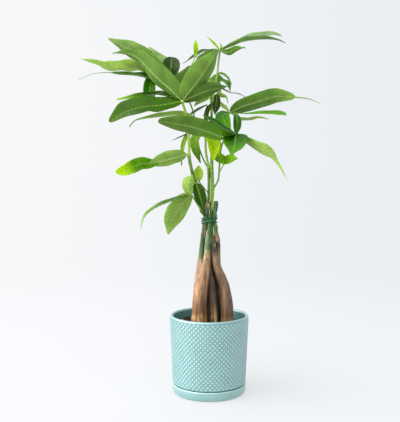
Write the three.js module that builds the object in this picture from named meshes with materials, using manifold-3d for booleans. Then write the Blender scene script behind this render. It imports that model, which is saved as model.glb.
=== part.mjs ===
// Potted money tree: five trunks tied in a bundle, palmate leaves, a glazed hobnail pot and its saucer.
// Millimetres, +Z up. The origin is the middle of the saucer's underside, where the tree stands.
import * as THREE from 'three';
import { mergeVertices } from 'three/addons/utils/BufferGeometryUtils.js';
import Module from 'manifold-3d';

const wasm = await Module();
wasm.setup();

// ---- driving dimensions -------------------------------------------------------------------------
const SEAT_GAP = 0.3;            // clearance kept wherever two pieces touch

const SAUCER_RADIUS = 60;        // outside, at the lip
const SAUCER_BASE_RADIUS = 57;   // flat ring that meets the table
const SAUCER_HEIGHT = 15.5;
const SAUCER_FLOOR = 4;
const SAUCER_WALL = 3.6;

const POT_RIM_RADIUS = 63.5;     // outside, at the rim
const POT_BASE_RADIUS = 58.7;    // outside, just above the saucer
const POT_FOOT_RADIUS = 54;      // the stepped foot that drops into the saucer
const POT_RIM_HEIGHT = 127;
const POT_BASE_HEIGHT = 16.6;    // underside of the step, just clear of the saucer's lip
const POT_WALL = 5;
const POT_FLOOR_UNDERSIDE = 7.5;
const POT_FLOOR_TOP = 13;
const DRAIN_HOLE_RADIUS = 7;

const SOIL_TOP = 112;
const SOIL_RADIUS_TOP = 57;
const SOIL_RADIUS_BOTTOM = 48;

const TIE_HEIGHT = 280;
const TIE_HALF_WIDTH = 12.3;     // centre line of the wire loop, left to right
const TIE_HALF_DEPTH = 9.8;      // centre line of the wire loop, front to back
const TIE_WIRE_RADIUS = 1.1;
const TIE_BAND_HEIGHT = 8;       // three turns of the wire lie one above another

const LEAF_THICKNESS = 0.8;
const LEAF_CUP = 0.14;           // how far a leaf's edges rise, as a share of its half width
const STALK_RADIUS = 1.5;        // leaf stalk
const SHORT_STALK_RADIUS = 0.8;  // stalk of a leaflet that stands off the hub
const HUB_RADIUS = 2.1;          // where the leaflets of one leaf meet

const ROUND_STEPS = 48;          // facets round the pot and the saucer

// ---- materials ----------------------------------------------------------------------------------
const finish = (color, roughness) => new THREE.MeshStandardMaterial({ color, roughness, metalness: 0 });
const GLAZE = finish(0x9fcfca, 0.25);
const SOIL = finish(0x3a2a1f, 0.95);
const BARK = finish(0x9a7450, 0.6);
const GREEN_WOOD = finish(0x7c9a3f, 0.5);
const LEAF = finish(0x4c8a2a, 0.45);
const YOUNG_LEAF = finish(0x9cb82e, 0.45);
const TIE = finish(0x006a34, 0.2);

// ---- solids -------------------------------------------------------------------------------------
const vector = (point) => new THREE.Vector3(point[0], point[1], point[2]);

/** Turns a closed geometry into a solid that can be joined and cut. */
function solidOf(geometry) {
  const bare = geometry.clone();
  bare.deleteAttribute('normal');
  bare.deleteAttribute('uv');
  const merged = mergeVertices(bare, 1e-4);
  return new wasm.Manifold(new wasm.Mesh({
    numProp: 3,
    vertProperties: new Float32Array(merged.attributes.position.array),
    triVerts: new Uint32Array(merged.index.array),
  }));
}

/** Turns a solid back into a geometry. */
function geometryOf(solid) {
  const mesh = solid.getMesh();
  const geometry = new THREE.BufferGeometry();
  geometry.setAttribute('position', new THREE.BufferAttribute(new Float32Array(mesh.vertProperties), 3));
  geometry.setIndex(new THREE.BufferAttribute(new Uint32Array(mesh.triVerts), 1));
  geometry.computeVertexNormals();
  return geometry;
}

/** Skins a row of rings, all with the same number of points, and closes both ends with a fan. */
function skin(rings) {
  const sides = rings[0].length;
  const positions = rings.flat().flatMap((point) => point.toArray());
  const ends = [rings[0], rings[rings.length - 1]];
  for (const ring of ends) {
    const middle = ring.reduce((sum, point) => sum.add(point), new THREE.Vector3()).divideScalar(sides);
    positions.push(...middle.toArray());
  }
  const first = rings.length * sides;
  const last = first + 1;
  const lastRing = (rings.length - 1) * sides;
  const index = [];
  for (let side = 0; side < sides; side += 1) {
    const next = (side + 1) % sides;
    for (let ring = 0; ring + 1 < rings.length; ring += 1) {
      const here = ring * sides;
      const there = here + sides;
      index.push(here + side, here + next, there + next);
      index.push(here + side, there + next, there + side);
    }
    index.push(first, next, side);
    index.push(last, lastRing + side, lastRing + next);
  }
  const geometry = new THREE.BufferGeometry();
  geometry.setAttribute('position', new THREE.Float32BufferAttribute(positions, 3));
  geometry.setIndex(index);
  return geometry;
}

/** A round stem through [x, y, z, radius] points; extra swells it to cut a clearance. */
function stemGeometry(points, sides = 10, stepsPerPoint = 1, extra = 0) {
  const curve = new THREE.CatmullRomCurve3(points.map(vector), false, 'centripetal');
  const spans = points.length - 1;
  const count = spans * stepsPerPoint;
  const rings = [];
  let across = new THREE.Vector3(1, 0, 0);
  for (let step = 0; step <= count; step += 1) {
    const along = (step / count) * spans;
    const span = Math.min(Math.floor(along), spans - 1);
    const share = along - span;
    const radius = THREE.MathUtils.lerp(points[span][3], points[span + 1][3], share) + extra;
    const centre = curve.getPoint(step / count);
    const tangent = curve.getTangent(step / count);
    across = across.clone().addScaledVector(tangent, -across.dot(tangent)).normalize();
    const up = tangent.clone().cross(across);
    const ring = [];
    for (let side = 0; side < sides; side += 1) {
      const angle = (side / sides) * Math.PI * 2;
      ring.push(centre.clone()
        .addScaledVector(across, Math.cos(angle) * radius)
        .addScaledVector(up, Math.sin(angle) * radius));
    }
    rings.push(ring);
  }
  return skin(rings);
}

/** Width of a leaflet along its length as a share of its widest: 0 at the hub, 0 where the tail starts. */
function leafletOutline(share, { tail = 0, widest = 0.48, slimness = 1.2 }) {
  const blade = Math.min(share / (1 - tail), 1);
  const rise = Math.pow(blade / widest, slimness * widest);
  const fall = Math.pow((1 - blade) / (1 - widest), slimness * (1 - widest));
  return rise * fall;
}

/** The path of a leaflet's midrib from its start, through its hand-set points, to its tip. */
function midrib(start, leaflet) {
  const points = [start, ...(leaflet.through ?? []), leaflet.tip].map(vector);
  return new THREE.CatmullRomCurve3(points, false, 'centripetal');
}

/** One leaflet blade as a thin closed body; face is the way its upper side looks, hub end to tip end. */
function leafletGeometry(hub, leaflet) {
  const stations = 8;
  const spread = [-1, 0, 1];
  const path = midrib(leaflet.start ?? hub, leaflet);
  const [left, right] = leaflet.halves ?? [1, 1];
  const faceStart = vector(leaflet.face);
  const faceEnd = vector(leaflet.faceEnd ?? leaflet.face);
  const rings = [];
  for (let station = 0; station <= stations; station += 1) {
    const share = station / stations;
    const centre = path.getPointAt(share);
    const tangent = path.getTangentAt(share);
    const normal = faceStart.clone().lerp(faceEnd, share);
    normal.addScaledVector(tangent, -normal.dot(tangent)).normalize();
    const side = tangent.clone().cross(normal);
    const halfWidth = Math.max(0.5 * leaflet.width * leafletOutline(share, leaflet), 0.7);
    const place = (u, lift) => centre.clone()
      .addScaledVector(side, u * halfWidth * (u < 0 ? left : right))
      .addScaledVector(normal, LEAF_CUP * halfWidth * u * u + lift * LEAF_THICKNESS * 0.5);
    const upper = spread.map((u) => place(u, 1 - u * u));
    const lower = spread.slice(1, -1).reverse().map((u) => place(u, u * u - 1));
    rings.push([...upper, ...lower]);
  }
  return skin(rings);
}

/** A whole palmate leaf: its stalk and its leaflets joined in one solid. */
function leafSolid(leaf, extra = 0) {
  const hub = leaf.stalk[leaf.stalk.length - 1];
  const radius = leaf.stalkRadius ?? STALK_RADIUS;
  const stalk = leaf.stalk.map((point) => [...point, radius]);
  let solid = solidOf(stemGeometry(stalk, 6, 2, extra));
  const knob = new THREE.IcosahedronGeometry(Math.max(HUB_RADIUS, radius + 0.3) + extra, 1);
  solid = solid.add(solidOf(knob.translate(...hub)));
  if (extra > 0) {
    return solid;
  }
  for (const leaflet of leaf.leaflets) {
    if (leaflet.start) {
      const short = [[...hub, SHORT_STALK_RADIUS], [...leaflet.start, SHORT_STALK_RADIUS]];
      solid = solid.add(solidOf(stemGeometry(short, 6, 2)));
    }
    solid = solid.add(solidOf(leafletGeometry(hub, leaflet)));
  }
  return solid;
}

// ---- pot, saucer and soil -----------------------------------------------------------------------

/** Turns a closed [radius, height] outline about the vertical axis. */
function turned(outline) {
  const points = outline.map(([radius, height]) => new THREE.Vector2(radius, height));
  points.push(points[0].clone());
  return new THREE.LatheGeometry(points, ROUND_STEPS).rotateX(Math.PI / 2);
}

/** A shallow dish whose wall leans out a little and ends in a rounded lip. */
function saucerGeometry() {
  const inside = SAUCER_RADIUS - SAUCER_WALL;
  return geometryOf(solidOf(turned([
    [0, 0],
    [SAUCER_BASE_RADIUS, 0],
    [SAUCER_RADIUS - 1.2, 1.4],
    [SAUCER_RADIUS - 0.5, 4],
    [SAUCER_RADIUS, SAUCER_HEIGHT - 1.2],
    [SAUCER_RADIUS - 1.2, SAUCER_HEIGHT],
    [inside + 1, SAUCER_HEIGHT],
    [inside, SAUCER_HEIGHT - 1.2],
    [inside - 0.6, SAUCER_FLOOR + 2],
    [inside - 2.2, SAUCER_FLOOR],
    [0, SAUCER_FLOOR],
  ])));
}

/** The pot: a stepped foot, a tapered wall with a rounded rim, and a floor with a drain hole. */
function potGeometry() {
  const bottom = SAUCER_FLOOR + SEAT_GAP;
  return geometryOf(solidOf(turned([
    [DRAIN_HOLE_RADIUS, POT_FLOOR_UNDERSIDE],
    [POT_FOOT_RADIUS - 5, POT_FLOOR_UNDERSIDE],
    [POT_FOOT_RADIUS - 5, bottom],
    [POT_FOOT_RADIUS - 0.8, bottom],
    [POT_FOOT_RADIUS, bottom + 0.8],
    [POT_FOOT_RADIUS, POT_BASE_HEIGHT],
    [POT_BASE_RADIUS - 0.8, POT_BASE_HEIGHT],
    [POT_BASE_RADIUS, POT_BASE_HEIGHT + 0.8],
    [POT_RIM_RADIUS, POT_RIM_HEIGHT - 3],
    [POT_RIM_RADIUS - 0.5, POT_RIM_HEIGHT - 1],
    [POT_RIM_RADIUS - 1.7, POT_RIM_HEIGHT],
    [POT_RIM_RADIUS - 2.8, POT_RIM_HEIGHT],
    [POT_RIM_RADIUS - POT_WALL + 0.3, POT_RIM_HEIGHT - 1],
    [POT_RIM_RADIUS - POT_WALL, POT_RIM_HEIGHT - 3],
    [POT_FOOT_RADIUS - 4, POT_FLOOR_TOP + 3],
    [POT_FOOT_RADIUS - 6, POT_FLOOR_TOP],
    [DRAIN_HOLE_RADIUS, POT_FLOOR_TOP],
  ])));
}

/** The root ball: fills the pot to just under the rim, with a socket for each trunk. */
function soilGeometry(trunks) {
  const bottom = POT_FLOOR_TOP + SEAT_GAP;
  let solid = solidOf(turned([
    [0, bottom],
    [SOIL_RADIUS_BOTTOM - 1.5, bottom],
    [SOIL_RADIUS_BOTTOM, bottom + 3],
    [SOIL_RADIUS_TOP, SOIL_TOP - 1],
    [SOIL_RADIUS_TOP - 2, SOIL_TOP],
    [0, SOIL_TOP + 1.5],
  ]));
  for (const trunk of trunks) {
    solid = solid.subtract(solidOf(stemGeometry(trunk.points, trunk.sides, 1, SEAT_GAP)));
  }
  return geometryOf(solid);
}

// ---- trunks and shoots --------------------------------------------------------------------------
// Each point is [x, y, z, radius]. A trunk swells at the soil, narrows to a green stem under the tie
// and is either pruned above the tie or grows on as a leafy shoot.
const TRUNKS = [
  {
    name: 'trunk_front_left',
    sides: 12,
    points: [
      [-14, -20, 70, 10], [-15.2, -21, 112, 12], [-15.2, -21.5, 150, 11.6], [-12.8, -19, 178, 10],
      [-7, -15, 202, 7.8], [-3.5, -11, 222, 5.6], [-2.5, -9, 236, 4.2], [-1.5, -7.5, 248, 3.8],
      [0.2, -5, 268, 3], [0.6, -4.6, 280, 2.5], [0.8, -4.6, 291, 2.3],
    ],
  },
  {
    name: 'trunk_back_left',
    sides: 12,
    points: [
      [-15.5, 5, 70, 9.6], [-16.5, 5, 115, 11.6], [-15.6, 5, 150, 11.2], [-14.5, 5, 178, 10], [-14, 5, 201, 8],
      [-12.9, 4, 216, 5.8], [-12.3, 3.5, 228, 4.5], [-10.5, 2.5, 246, 4.2], [-8.2, 1.2, 264, 4],
      [-6.6, 0.5, 280, 3.8], [-5, 0, 294, 4.4], [-4, -0.8, 302, 4.7], [-3.8, -1.4, 309, 5.1],
      [-3.6, -1.4, 313, 3.8],
    ],
  },
  {
    name: 'trunk_middle',
    sides: 12,
    points: [
      [7, -3, 70, 9.4], [7.2, -4, 115, 10.7], [5.6, -3.5, 150, 10.1], [4.2, -2, 180, 7.8], [3.6, 2, 204, 4],
      [2, 4.5, 226, 2.9], [-0.5, 6, 252, 2.5], [-2.2, 6.4, 272, 2.3], [-2.4, 6.4, 284, 2.3],
      [-1.8, 7, 302, 2.3], [-0.8, 7, 322, 2.3], [-0.6, 8, 346, 2.4], [-0.4, 9, 362, 3.1], [-0.4, 9, 367, 2.4],
    ],
  },
  {
    name: 'trunk_right',
    sides: 12,
    points: [
      [27, -7, 70, 8.8], [28.6, -8, 115, 10.2], [27.8, -8, 147, 9.9], [24, -7, 173, 8.6], [19.5, -6, 187, 8],
      [14, -5, 201, 7], [10.6, -3.5, 214, 5.8], [8, -1, 230, 4.4], [6.4, 2, 243, 3.3], [4.4, 5.4, 260, 2.5],
      [3.6, 6.2, 274, 2.4], [3.4, 5.4, 286, 2.5], [3.4, 1.8, 300, 2.6], [5.2, 0.4, 325, 2.9],
      [4.8, 0, 347, 2.7], [4, 0.4, 372, 2.5], [4, 3, 410, 2.3], [3.5, 7, 450, 2.2], [3, 10, 484, 2.2],
    ],
  },
  {
    name: 'trunk_back_right',
    sides: 12,
    points: [
      [12, 20, 70, 7.6], [13.5, 19.5, 115, 9.2], [13.5, 18, 150, 8.6], [14, 15, 185, 6.4], [14.5, 12, 205, 4.5],
      [14.5, 10.5, 218, 3.9], [14.5, 9.6, 234, 3.7], [13.4, 8.6, 244, 4], [12.4, 7.4, 251, 4.4],
      [11.4, 5, 259, 3.3], [9.4, 1.4, 270, 3], [7.7, -0.8, 280, 3], [8.6, 0.6, 290, 3.2], [10.4, 3.6, 301, 3.7],
      [11, 4.6, 308, 3.6], [11.2, 5, 311, 3],
    ],
  },
];

const SHOOT_LEFT = {
  name: 'shoot_left',
  sides: 8,
  points: [
    [-6, 0, 287, 2.3], [-12, -4, 295, 2.8], [-14.5, -7, 306, 2.7], [-19.5, -10, 335, 2.6], [-26, -16, 353, 2.6],
    [-30.5, -22, 374, 2.6], [-32, -24, 384, 2.8], [-32, -25, 388, 2.1],
  ],
};

// ---- leaves -------------------------------------------------------------------------------------
// stalk runs from the stem to the hub, where the leaflets meet. Each leaflet runs from the hub, or
// from start at the end of a short stalk of its own, through its points to its tip. face is the way its
// upper side looks, and faceEnd the way it looks at the tip where the blade twists. tail is the share
// of the length that is a thin drip tip. halves are the left and right half as shares of the width.
const FLAT = [0, -0.17, 0.98];   // the face of a leaflet seen edge-on from the front

const LEAVES = [
  {
    name: 'leaf_upper_left',
    on: 'shoot_left',
    stalkRadius: 2.1,
    stalk: [[-32, -24.6, 384], [-32, -29, 408], [-35, -36, 442], [-42, -40, 467]],
    leaflets: [
      { through: [[-59, -38, 484], [-78, -33, 501], [-95, -27, 518], [-113, -20, 537], [-133, -14, 545]],
        tip: [-154, -10, 545], width: 52, widest: 0.34, slimness: 1.4, halves: [0.85, 0.5],
        face: [0.4, 0.85, 0.35] },
      { through: [[-13, -52, 502]], tip: [14, -62, 543], width: 43, slimness: 1, halves: [0.85, 0.95],
        face: [-0.4, 0.85, 0.35] },
      { through: [[-7, -35, 482]], tip: [28, -18, 492], width: 28, face: [0, 0.75, 0.65] },
      { through: [[-39, -22, 492]], tip: [-31, -8, 526], width: 46, slimness: 0.9, face: [0, 0.9, -0.4] },
      { through: [[-50, -16, 493]], tip: [-56, -2, 512], width: 28, slimness: 0.9, face: [0, 0.9, -0.4] },
      { through: [[-70, -55, 460], [-101, -75, 455], [-125, -98, 445]], tip: [-144, -112, 430], width: 46,
        widest: 0.56, slimness: 1, face: [-0.1, -0.72, 0.7] },
      { through: [[-77, -30, 479], [-109, -20, 476]], tip: [-145, -30, 470], width: 28, widest: 0.7,
        slimness: 0.9, face: [0, -0.35, 0.93] },
    ],
  },
  {
    name: 'leaf_back_left',
    on: 'trunk_middle',
    stalkRadius: 1.3,
    stalk: [
      [-1, 10.4, 363], [-9, 12, 377], [-16, 13, 395], [-20, 15, 415], [-24, 18, 445], [-34, 22, 474],
      [-67, 15, 506],
    ],
    leaflets: [
      { through: [[-102, 35, 541], [-135, 50, 562]], tip: [-170, 60, 581], width: 34, widest: 0.5,
        slimness: 1.15, face: [0.4, 0.8, 0.45] },
      { through: [[-112, 15, 526], [-142, 20, 528], [-167, 27, 529], [-183, 27, 535]], tip: [-212, 30, 543],
        width: 29, widest: 0.42, slimness: 1, tail: 0.04, face: [0.1, 0.5, 0.85] },
      { through: [[-95, 8, 508], [-114, 3, 512], [-142, -2, 514], [-167, -8, 515], [-185, -15, 512]],
        tip: [-204, -25, 502], width: 40, widest: 0.36, slimness: 0.9, tail: 0.36, face: [0, -0.36, 0.93] },
      { through: [[-82, 45, 539]], tip: [-102, 75, 570], width: 38, face: [0.1, 0.7, -0.7] },
      { through: [[-62, 8, 523]], tip: [-61, 20, 544], width: 28, widest: 0.55, slimness: 1.25,
        face: [0.1, -0.8, 0.55] },
      { through: [[-86, 12, 512], [-95, 8, 499]], tip: [-96, 6, 472], width: 20, widest: 0.7, slimness: 0.7,
        face: [0, -0.9, 0.3] },
    ],
  },
  {
    name: 'leaf_top',
    on: 'trunk_right',
    stalk: [[3, 10, 480], [11, 10, 505], [15, 8, 537], [17, 5, 552]],
    leaflets: [
      { through: [[36, 0, 558], [52, -4, 564], [67, -6, 566], [88, -8, 567], [108, -9, 565]],
        tip: [120, -10, 560], width: 22, widest: 0.45, slimness: 0.9, face: [0, -0.32, 0.94] },
      { through: [[49, 20, 569], [69, 30, 577], [89, 38, 582], [106, 44, 585]], tip: [120, 48, 582], width: 17,
        widest: 0.6, slimness: 1, face: [-0.1, 0.5, 0.85] },
      { through: [[29, -8, 546], [43, -18, 551]], tip: [56, -30, 550], width: 12, widest: 0.3, slimness: 0.9,
        face: [0.3, 0.62, 0.7] },
      { through: [[-2, 0, 545], [-15, -4, 535]], tip: [-26, -5, 524], width: 20, face: [-0.5, -0.6, 0.6] },
      { through: [[-7, 30, 556], [-27, 55, 549]], tip: [-45, 75, 541], width: 15, widest: 0.35, face: FLAT },
      { through: [[6, 2, 563]], tip: [-4, 0, 573], width: 7, face: [0.6, -0.6, 0.5] },
      { through: [[19, 6, 558]], tip: [17, 8, 564], width: 4, face: [0.6, -0.6, 0.3] },
    ],
  },
  {
    name: 'leaf_back_right',
    on: 'trunk_right',
    stalk: [[3.4, 8, 462], [8, 20, 488], [11, 33, 506], [14, 40, 519]],
    leaflets: [
      { through: [[18, 42, 520], [28, 50, 516]], tip: [38, 60, 504], width: 11, face: [0.3, -0.6, 0.7] },
      { through: [[19, 34, 509], [29, 28, 503]], tip: [34, 20, 489], width: 12, face: [0.3, -0.6, 0.7] },
      { through: [[14, 46, 503], [31, 60, 492], [49, 72, 490]], tip: [65, 85, 484], width: 9, face: FLAT },
      { through: [[17, 32, 485], [27, 26, 480]], tip: [30, 20, 469], width: 10, face: [0.3, 0.6, 0.6] },
      { start: [13, 36, 486], through: [[11, 31, 469]], tip: [9, 26, 451], width: 14, slimness: 1,
        face: [0.1, -0.9, 0.3] },
      { through: [[-4, 36, 488]], tip: [-25, 34, 466], width: 21, face: [0, 0.8, 0.5] },
    ],
  },
  {
    name: 'leaf_right',
    on: 'trunk_right',
    stalk: [[4, 3.4, 412], [10, 9, 430], [20, 16, 445], [34, 20, 454]],
    leaflets: [
      { through: [[50, 22, 463], [68, 28, 469], [88, 33, 476], [110, 40, 482], [132, 46, 482], [151, 50, 481],
          [168, 55, 479]],
        tip: [187, 60, 472], width: 30, widest: 0.5, slimness: 0.75, tail: 0.29, face: [-0.15, 0.85, 0.5] },
      { through: [[59, 5, 451], [78, 0, 451], [96, -8, 450]], tip: [121, -18, 447], width: 20, widest: 0.8,
        slimness: 2.3, face: [0.1, -0.42, 0.9] },
      { through: [[50, 14, 443], [66, 18, 443], [82, 22, 446]], tip: [97, 26, 444], width: 13,
        face: [0, 0.35, 0.93] },
      { start: [43, -2, 450], through: [[44, -10, 437]], tip: [42, -16, 418], width: 14, slimness: 0.9,
        face: [0.3, -0.9, 0.2] },
      { through: [[22, -8, 445]], tip: [34, -30, 419], width: 23, slimness: 1, face: [-0.3, -0.85, 0.4] },
      { through: [[21, 38, 466]], tip: [4, 60, 473], width: 18, face: [0, 0.7, 0.7] },
    ],
  },
  {
    name: 'leaf_front_right',
    on: 'trunk_right',
    stalk: [
      [5.2, 0.4, 330], [9, 3, 335], [14, 6, 344], [16, 8, 361], [17.5, 5, 388], [23, -10, 407], [41, -35, 417],
    ],
    leaflets: [
      { through: [[75, -48, 395], [92, -58, 386], [104, -65, 370]], tip: [117, -72, 346], width: 26,
        widest: 0.58, slimness: 2, tail: 0.22, face: [0.5, 0.55, 0.65] },
      { through: [[39, -58, 401]], tip: [32, -84, 381], width: 38, widest: 0.3, slimness: 1.35,
        face: [0, -0.65, 0.76] },
      { through: [[19, -48, 413], [-7, -63, 421], [-36, -74, 428]], tip: [-76, -85, 434], width: 35,
        widest: 0.6, slimness: 1, face: [0, 0.72, 0.69] },
      { through: [[22, -62, 424], [6, -72, 434]], tip: [-10, -78, 443], width: 15, slimness: 0.9,
        face: [0.35, -0.65, 0.65] },
    ],
  },
  {
    name: 'leaf_centre',
    on: 'trunk_middle',
    stalkRadius: 1.9,
    stalk: [[0, 7, 364], [-4, 4, 380], [-6, 0, 398], [-6, -4, 412], [-7, -8, 428]],
    leaflets: [
      { through: [[-42, -14, 449], [-70, -18, 448], [-99, -24, 443], [-116, -28, 438]], tip: [-125, -34, 427],
        width: 12, widest: 0.35, face: [0, 0.6, 0.8] },
      { through: [[-34, 5, 419]], tip: [-61, 20, 409], width: 14, face: FLAT },
      { through: [[-23, -6, 410], [-21, -5, 393]], tip: [-14, 0, 372], width: 15, face: [-0.2, -0.9, 0] },
      { through: [[6, -20, 404]], tip: [6, -26, 375], width: 20, slimness: 0.8, face: [0.2, -0.95, 0.2] },
      { through: [[14, -12, 405]], tip: [15, -14, 383], width: 9, face: [-0.2, -0.95, 0.2] },
      { through: [[14, -3, 439]], tip: [35, 3, 434], width: 15, face: [0, -0.6, 0.8] },
      { through: [[-31, 3, 421], [-41, 4, 405]], tip: [-45, 4, 368], width: 8, face: [-0.3, -0.9, 0.2] },
      { through: [[-4, -6, 455]], tip: [8, -4, 471], width: 10, face: [0.7, -0.6, 0.3] },
      { start: [-4, 1, 465], through: [[-18, -2, 457]], tip: [-36, -6, 445], width: 9, slimness: 1,
        face: [-0.3, -0.5, 0.8] },
    ],
  },
  {
    name: 'leaf_low_left',
    on: 'shoot_left',
    stalk: [[-32, -24.6, 385], [-33.5, -25, 385.5], [-36, -25.5, 385]],
    leaflets: [
      { through: [[-54, -28, 381], [-72, -32, 376]], tip: [-95, -36, 370], width: 26, widest: 0.45, slimness: 1,
        face: [0, 0.85, 0.5] },
      { start: [-78, -33, 373],
        through: [[-92, -36, 371], [-106, -40, 371], [-119, -46, 365], [-131, -50, 360]], tip: [-144, -53, 358],
        width: 22, widest: 0.55, slimness: 1.1, face: [-0.1, -0.95, 0.3] },
      { through: [[-60, -4, 386]], tip: [-84, 20, 379], width: 20, face: [0, 0, 1] },
    ],
  },
  {
    name: 'leaf_lowest',
    on: 'shoot_left',
    stalk: [[-12, -4, 295], [-16.5, -12, 303], [-23, -18, 314], [-29, -24, 323]],
    leaflets: [
      { through: [[-58, -36, 314], [-87, -50, 301], [-100, -58, 288]], tip: [-105, -62, 271], width: 22,
        face: [-0.3, -0.28, 0.9], faceEnd: [-0.9, -0.3, 0.4] },
      { through: [[-42, -22, 309], [-58, -18, 282]], tip: [-66, -14, 258], width: 33, slimness: 1,
        face: [-0.3, 0.93, 0.2] },
      { through: [[-33, -28, 338]], tip: [-26, -30, 354], width: 21, slimness: 0.9, face: [0.2, 0.95, 0] },
      { start: [-21, -36, 341], through: [[-16, -40, 326]], tip: [-9, -43, 299], width: 20, slimness: 1,
        face: [0.2, -0.9, 0.4] },
    ],
  },
  {
    name: 'leaf_small_right',
    on: 'leaf_front_right',
    stalkRadius: 1,
    stalk: [[16, 8, 357], [20, 6, 364], [24, 4, 372]],
    leaflets: [
      { start: [21, 4, 375], through: [[34, -8, 378]], tip: [45, -16, 379], width: 19, slimness: 1,
        face: [0.1, -0.9, 0.45] },
      { start: [28, 2, 377], through: [[16, -6, 379]], tip: [4, -14, 381], width: 20, slimness: 1,
        face: [-0.1, -0.9, 0.45] },
    ],
  },
  {
    name: 'young_leaf_left',
    on: 'trunk_right',
    stalkRadius: 0.9,
    stalk: [[3.2, 9, 474], [-12, 20, 492], [-30, 20, 523], [-22, 18, 545]],
    leaflets: [
      { through: [[-22, 18, 557]], tip: [-22, 22, 571], width: 8, slimness: 0.8, face: [0.2, -0.95, 0] },
    ],
  },
  {
    name: 'young_leaf_low',
    on: 'trunk_middle',
    stalkRadius: 1,
    stalk: [[-0.6, 6.2, 322], [-9, 3, 333], [-17, 0, 343]],
    leaflets: [
      { through: [[-18, 1, 353]], tip: [-17, 2, 369], width: 16, slimness: 1, face: [0.2, -0.95, 0.1] },
    ],
  },
];

// ---- twist tie ----------------------------------------------------------------------------------

/** A band of coated wire turns round the bundle, with its two twisted ends at the back. */
function tieGeometry() {
  const loop = new THREE.TorusGeometry(1, TIE_WIRE_RADIUS / TIE_HALF_WIDTH, 8, 28);
  const positions = loop.attributes.position;
  for (let item = 0; item < positions.count; item += 1) {
    const angle = Math.atan2(positions.getY(item), positions.getX(item));
    const out = Math.hypot(positions.getX(item), positions.getY(item)) - 1;
    const swell = out * TIE_HALF_WIDTH;
    const rise = positions.getZ(item) * TIE_HALF_WIDTH / TIE_WIRE_RADIUS;
    positions.setXYZ(
      item,
      Math.cos(angle) * (TIE_HALF_WIDTH + swell),
      Math.sin(angle) * (TIE_HALF_DEPTH + swell),
      rise * TIE_BAND_HEIGHT / 2,
    );
  }
  const back = TIE_HALF_DEPTH;
  const tail = [[2, back, 0, 1.1], [5, back + 4, 1, 1.5], [8, back + 8, 3, 1.4], [10, back + 12, 6, 0.9]];
  return geometryOf(solidOf(loop).add(solidOf(stemGeometry(tail, 6, 1))));
}

// ---- the assembly -------------------------------------------------------------------------------
const tree = new THREE.Group();

function addPiece(name, geometry, material) {
  const piece = new THREE.Mesh(geometry, material);
  piece.name = name;
  tree.add(piece);
  return piece;
}

addPiece('saucer', saucerGeometry(), GLAZE);
addPiece('pot', potGeometry(), GLAZE);
addPiece('soil', soilGeometry(TRUNKS), SOIL);

const carriers = new Map();   // name of a stem or leaf -> its solid, swelled by the seat gap
for (const trunk of TRUNKS) {
  addPiece(trunk.name, geometryOf(solidOf(stemGeometry(trunk.points, trunk.sides))), BARK);
  carriers.set(trunk.name, solidOf(stemGeometry(trunk.points, trunk.sides, 1, SEAT_GAP)));
}

const twistTie = addPiece('twist_tie', tieGeometry(), TIE);
twistTie.position.set(0.2, 0.8, TIE_HEIGHT);

const shoot = solidOf(stemGeometry(SHOOT_LEFT.points, SHOOT_LEFT.sides, 2));
addPiece(SHOOT_LEFT.name, geometryOf(shoot.subtract(carriers.get('trunk_back_left'))), GREEN_WOOD);
carriers.set(SHOOT_LEFT.name, solidOf(stemGeometry(SHOOT_LEFT.points, SHOOT_LEFT.sides, 2, SEAT_GAP)));

for (const leaf of LEAVES) {
  const solid = leafSolid(leaf).subtract(carriers.get(leaf.on));
  addPiece(leaf.name, geometryOf(solid), leaf.name.startsWith('young') ? YOUNG_LEAF : LEAF);
  carriers.set(leaf.name, leafSolid(leaf, SEAT_GAP));
}

export default tree;
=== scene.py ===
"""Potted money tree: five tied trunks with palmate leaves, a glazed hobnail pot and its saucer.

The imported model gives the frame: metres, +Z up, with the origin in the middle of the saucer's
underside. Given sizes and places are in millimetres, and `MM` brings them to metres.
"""
import logging
import math
from collections.abc import Sequence
from dataclasses import dataclass, field
from enum import Enum

import bpy
import numpy as np
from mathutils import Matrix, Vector, noise


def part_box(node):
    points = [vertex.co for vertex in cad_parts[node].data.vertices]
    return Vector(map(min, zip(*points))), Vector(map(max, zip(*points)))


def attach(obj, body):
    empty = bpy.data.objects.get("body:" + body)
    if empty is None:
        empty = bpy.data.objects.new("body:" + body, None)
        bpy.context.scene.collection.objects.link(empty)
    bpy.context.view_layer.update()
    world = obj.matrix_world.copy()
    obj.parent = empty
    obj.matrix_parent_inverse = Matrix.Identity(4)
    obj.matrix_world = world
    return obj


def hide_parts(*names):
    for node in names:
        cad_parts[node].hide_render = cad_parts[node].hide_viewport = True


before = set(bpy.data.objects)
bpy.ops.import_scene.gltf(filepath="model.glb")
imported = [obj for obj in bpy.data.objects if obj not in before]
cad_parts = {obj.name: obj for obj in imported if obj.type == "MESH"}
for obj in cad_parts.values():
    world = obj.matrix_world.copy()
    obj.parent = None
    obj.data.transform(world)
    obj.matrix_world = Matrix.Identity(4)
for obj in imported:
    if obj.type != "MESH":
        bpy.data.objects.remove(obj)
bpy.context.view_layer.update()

MM = 0.001
SEED = 11
log = logging.getLogger("money_tree")

Array = np.ndarray
Point = tuple[float, float, float]
Colour = tuple[float, float, float]
Stops = Sequence[tuple[float, str]]
Socket = bpy.types.NodeSocket
Finish = bpy.types.Material
Piece = bpy.types.Object


# ---- small helpers ----


def srgb(code: str) -> Colour:
    """Turns a paint code such as "8aa56b" into linear red, green and blue shares."""
    shares = [int(code[i : i + 2], 16) / 255 for i in (0, 2, 4)]
    return tuple(s / 12.92 if s <= 0.04045 else ((s + 0.055) / 1.055) ** 2.4 for s in shares)


def unit(rows: Array) -> Array:
    """Gives each row the length 1."""
    return rows / np.maximum(np.linalg.norm(rows, axis=-1, keepdims=True), 1e-12)


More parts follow.
